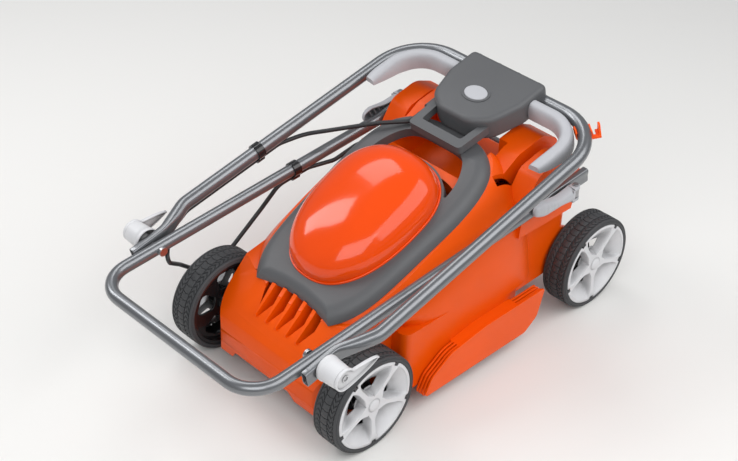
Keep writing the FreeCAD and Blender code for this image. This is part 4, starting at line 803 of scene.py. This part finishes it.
def makeStartLever():
    s = startSet
    track = [((x, s["u"] + s["mid"]), (0, 1)) for x in (s["from"], s["from"] + 3, 95, 108)]
    for i in range(19):
        a = math.radians(90 - 5 * i)
        n = (math.cos(a), math.sin(a))
        track.append(((s["x"] + s["mid"] * n[0], s["u"] + s["mid"] * n[1]), n))
    for v in (-94, -103, -112, -120, -126, -130, -132.6, -134.4, s["to"]):
        track.append(((s["x"] + s["mid"], v), (1, 0)))
    stations = []
    for k, ((x, v), n) in enumerate(track):
        fall = min(max((-62 - v) / 74, 0.0), 1.0)
        slim = min(max((-104 - v) / 33, 0.0), 1.0)
        low = s["low"] + 15.0 * fall ** 1.4 if x > s["x"] else s["low"]
        half = s["half"] - 2.6 * slim ** 2
        shift = -2.6 * slim ** 2
        droop = 2.2 * slim ** 3

        def place(a, b, x=x, v=v, n=n, shift=shift, k=k, droop=droop):
            lean = 2.4 * (a / 12) if k == len(track) - 1 else 0.0
            return (x + n[0] * (a + shift), v + n[1] * (a + shift) + max(lean, 0.0), b - droop)

        stations.append((place, half, low + droop, s["top"]))
    trough = channel("trough", stations, s["wall"])
    rib = plate((s["mid"] - 9.3, s["mid"] + 9.3), (-0.9, 0.9), (s["low"] + 4, s["top"] - 8))
    ribs = setOut(rib, s["ribs"], finishes["softGrip"], start=(s["x"], s["u"], 0),
                  firstTurn=(0, 0, math.radians(12)), turnStep=(0, 0, math.radians(s["ribTurn"])))
    x = s["from"]
    hub = [(x + 0.05, s["boreR"]), (x + 0.05, s["hubR"] - 0.6), (x + 0.6, s["hubR"]), (x + 9.4, s["hubR"]),
           (x + 10, s["hubR"] - 0.6), (x + 10, s["boreR"])]
    points, _ = spun(hub, 40)
    faces = ringFaces(len(hub), 40, closedRings=True)
    boss = meshOf("boss", [(x, y + s["shaft"][0], z + s["shaft"][1]) for x, y, z in points], faces)
    return [trough, ribs, boss]


startMeshes = makeStartLever()
for side, sign in (("left", -1), ("right", 1)):
    lever = gathered(f"start_{side}", startMeshes, upperPlace, sign < 0, weld=0.01, angle=38, recalc=True)
    settle(lever, bodyOf[f"start_lever_{side}"], nodeSlots[f"start_lever_{side}"], finishes["softGrip"],
           f"start_lever_{side}")

clampSet = {"x": 182.8, "z": 270.9475, "y": 165.0, "tail": 73.0, "pinX": 190.0, "half": 13.0,
            "thick": 15.0, "wall": 2.2, "fork": 9, "slices": 56, "rounded": 0.30, "waist": 0.62,
            "grooves": 6, "grooveDeep": 0.7, "ribs": 6, "ribStep": 10.5}


def makeClampLever():
    s = clampSet
    stations = []
    length = s["y"] - s["fork"] - s["tail"]
    for i in range(s["slices"] + 1):
        y = s["tail"] + length * (1 - i / s["slices"])  # from the fork to the grip's tip
        share = (y - s["tail"]) / length
        grip = math.sqrt(max(1 - max((s["rounded"] - share) / s["rounded"], 0.0) ** 2.0, 0.0))
        waist = 1 - 0.30 * math.exp(-((share - s["waist"]) / 0.17) ** 2)
        half = s["half"] * (0.74 + 0.26 * min(abs(share - s["waist"]) / 0.38, 1.0) ** 2)
        half = max(half * (0.30 + 0.70 * grip) * (0.5 + 0.5 * waist), 1.0)
        thick = s["thick"] - 4.0 * max(1 - share / 0.55, 0.0) ** 1.5 + 1.0 * share
        thick *= 0.45 + 0.55 * grip
        groove = 0.0
        if 0.06 < share < 0.56:
            swing = math.sin((share - 0.06) / 0.50 * (2 * s["grooves"]) * math.pi)
            groove = s["grooveDeep"] * max(swing, 0.0) ** 2

        def place(a, b, y=y):
            return (s["x"] + b, y, s["z"] + a)

        stations.append((place, half, 0.0, max(thick - groove, 2.6)))
    trough = channel("grip", stations, s["wall"], shoulder=2.8)
    rib = plate((s["x"] + 1.5, s["x"] + 9.5), (-0.7, 0.7), (-8.0, 8.0))
    ribs = setOut(rib, s["ribs"], finishes["softGrip"], start=(0, s["tail"] + 17, s["z"]),
                  step=(0, s["ribStep"], 0), firstTurn=(math.radians(28), 0, 0))
    meshes = [trough, ribs]
    r = s["pinX"] - s["x"]
    for base, sign in ((7.2, 1), (-7.2, -1)):
        rings = []
        for rise, inset in ((0, 0.4), (0.4, 0), (5.0, 0), (5.5, 0.3), (5.8, 0.9)):
            ring, level = [], s["z"] + base + sign * rise
            for k in range(25):
                a = math.pi * k / 24
                ring.append((s["pinX"] + (r - inset) * math.cos(a), s["y"] + (r - inset) * math.sin(a), level))
            ring.append((s["x"] + inset, s["y"] - 10.5, level))
            ring.append((s["pinX"] + r - inset, s["y"] - 10.5, level))
            rings.append(ring)
        meshes.append(lofted("prong", rings))
    bridge = plate((s["x"] + 0.3, s["x"] + 15.3), (s["y"] - 13.5, s["y"] - 9.8), (s["z"] - 10.5, s["z"] + 10.5))
    return meshes + [bridge]


clampMeshes = makeClampLever()
for side, sign in (("left", -1), ("right", 1)):
    clamp = gathered(f"clamp_{side}", clampMeshes, levelPlace, sign < 0, weld=0.01, angle=38, recalc=True)
    node = f"cam_lever_{side}"
    settle(clamp, bodyOf[node], nodeSlots[node], finishes["softGrip"], node)

# ---- every other piece keeps the frame's own shape
print("other frame pieces")
finishOf = {"black_plastic": "blackRim", "light_grey_plastic": "softGrip", "steel": "brightSteel",
            "orange_shell": "orangeShell", "orange_gloss": "orangeGloss", "dark_grey_plastic": "greyShell",
            "cast_aluminium": "coreSteel", "core_steel": "coreSteel", "copper": "copperWire",
            "tube_paint": "tubePaint", "lead_rubber": "blackLead", "tyre": "tyreRubber"}
easeOf = {"box_base": 2.0, "box_cover": 1.6, "top_cowl": 1.6, "deck_shell": 1.1, "side_comb_left": 0.8,
          "side_comb_right": 0.8, "rear_flap": 1.0, "lock_button": 0.8}
leadEnds = {  # where each moving lead leaves one body and reaches the next
    "lead_deck": ("deck", "lower_handle", (-134, 54, 264), (-172, -86.5, 236)),
    "lead_upper": ("lower_handle", "upper_handle", (-178.2, -347, 206), (-208, -284, 232)),
}
for node, piece in frame["nodes"].items():
    if not piece.hide_render:
        refined(node, finishOf[nodeSlots[node]], width=easeOf.get(node, 0.4), ends=leadEnds.get(node))
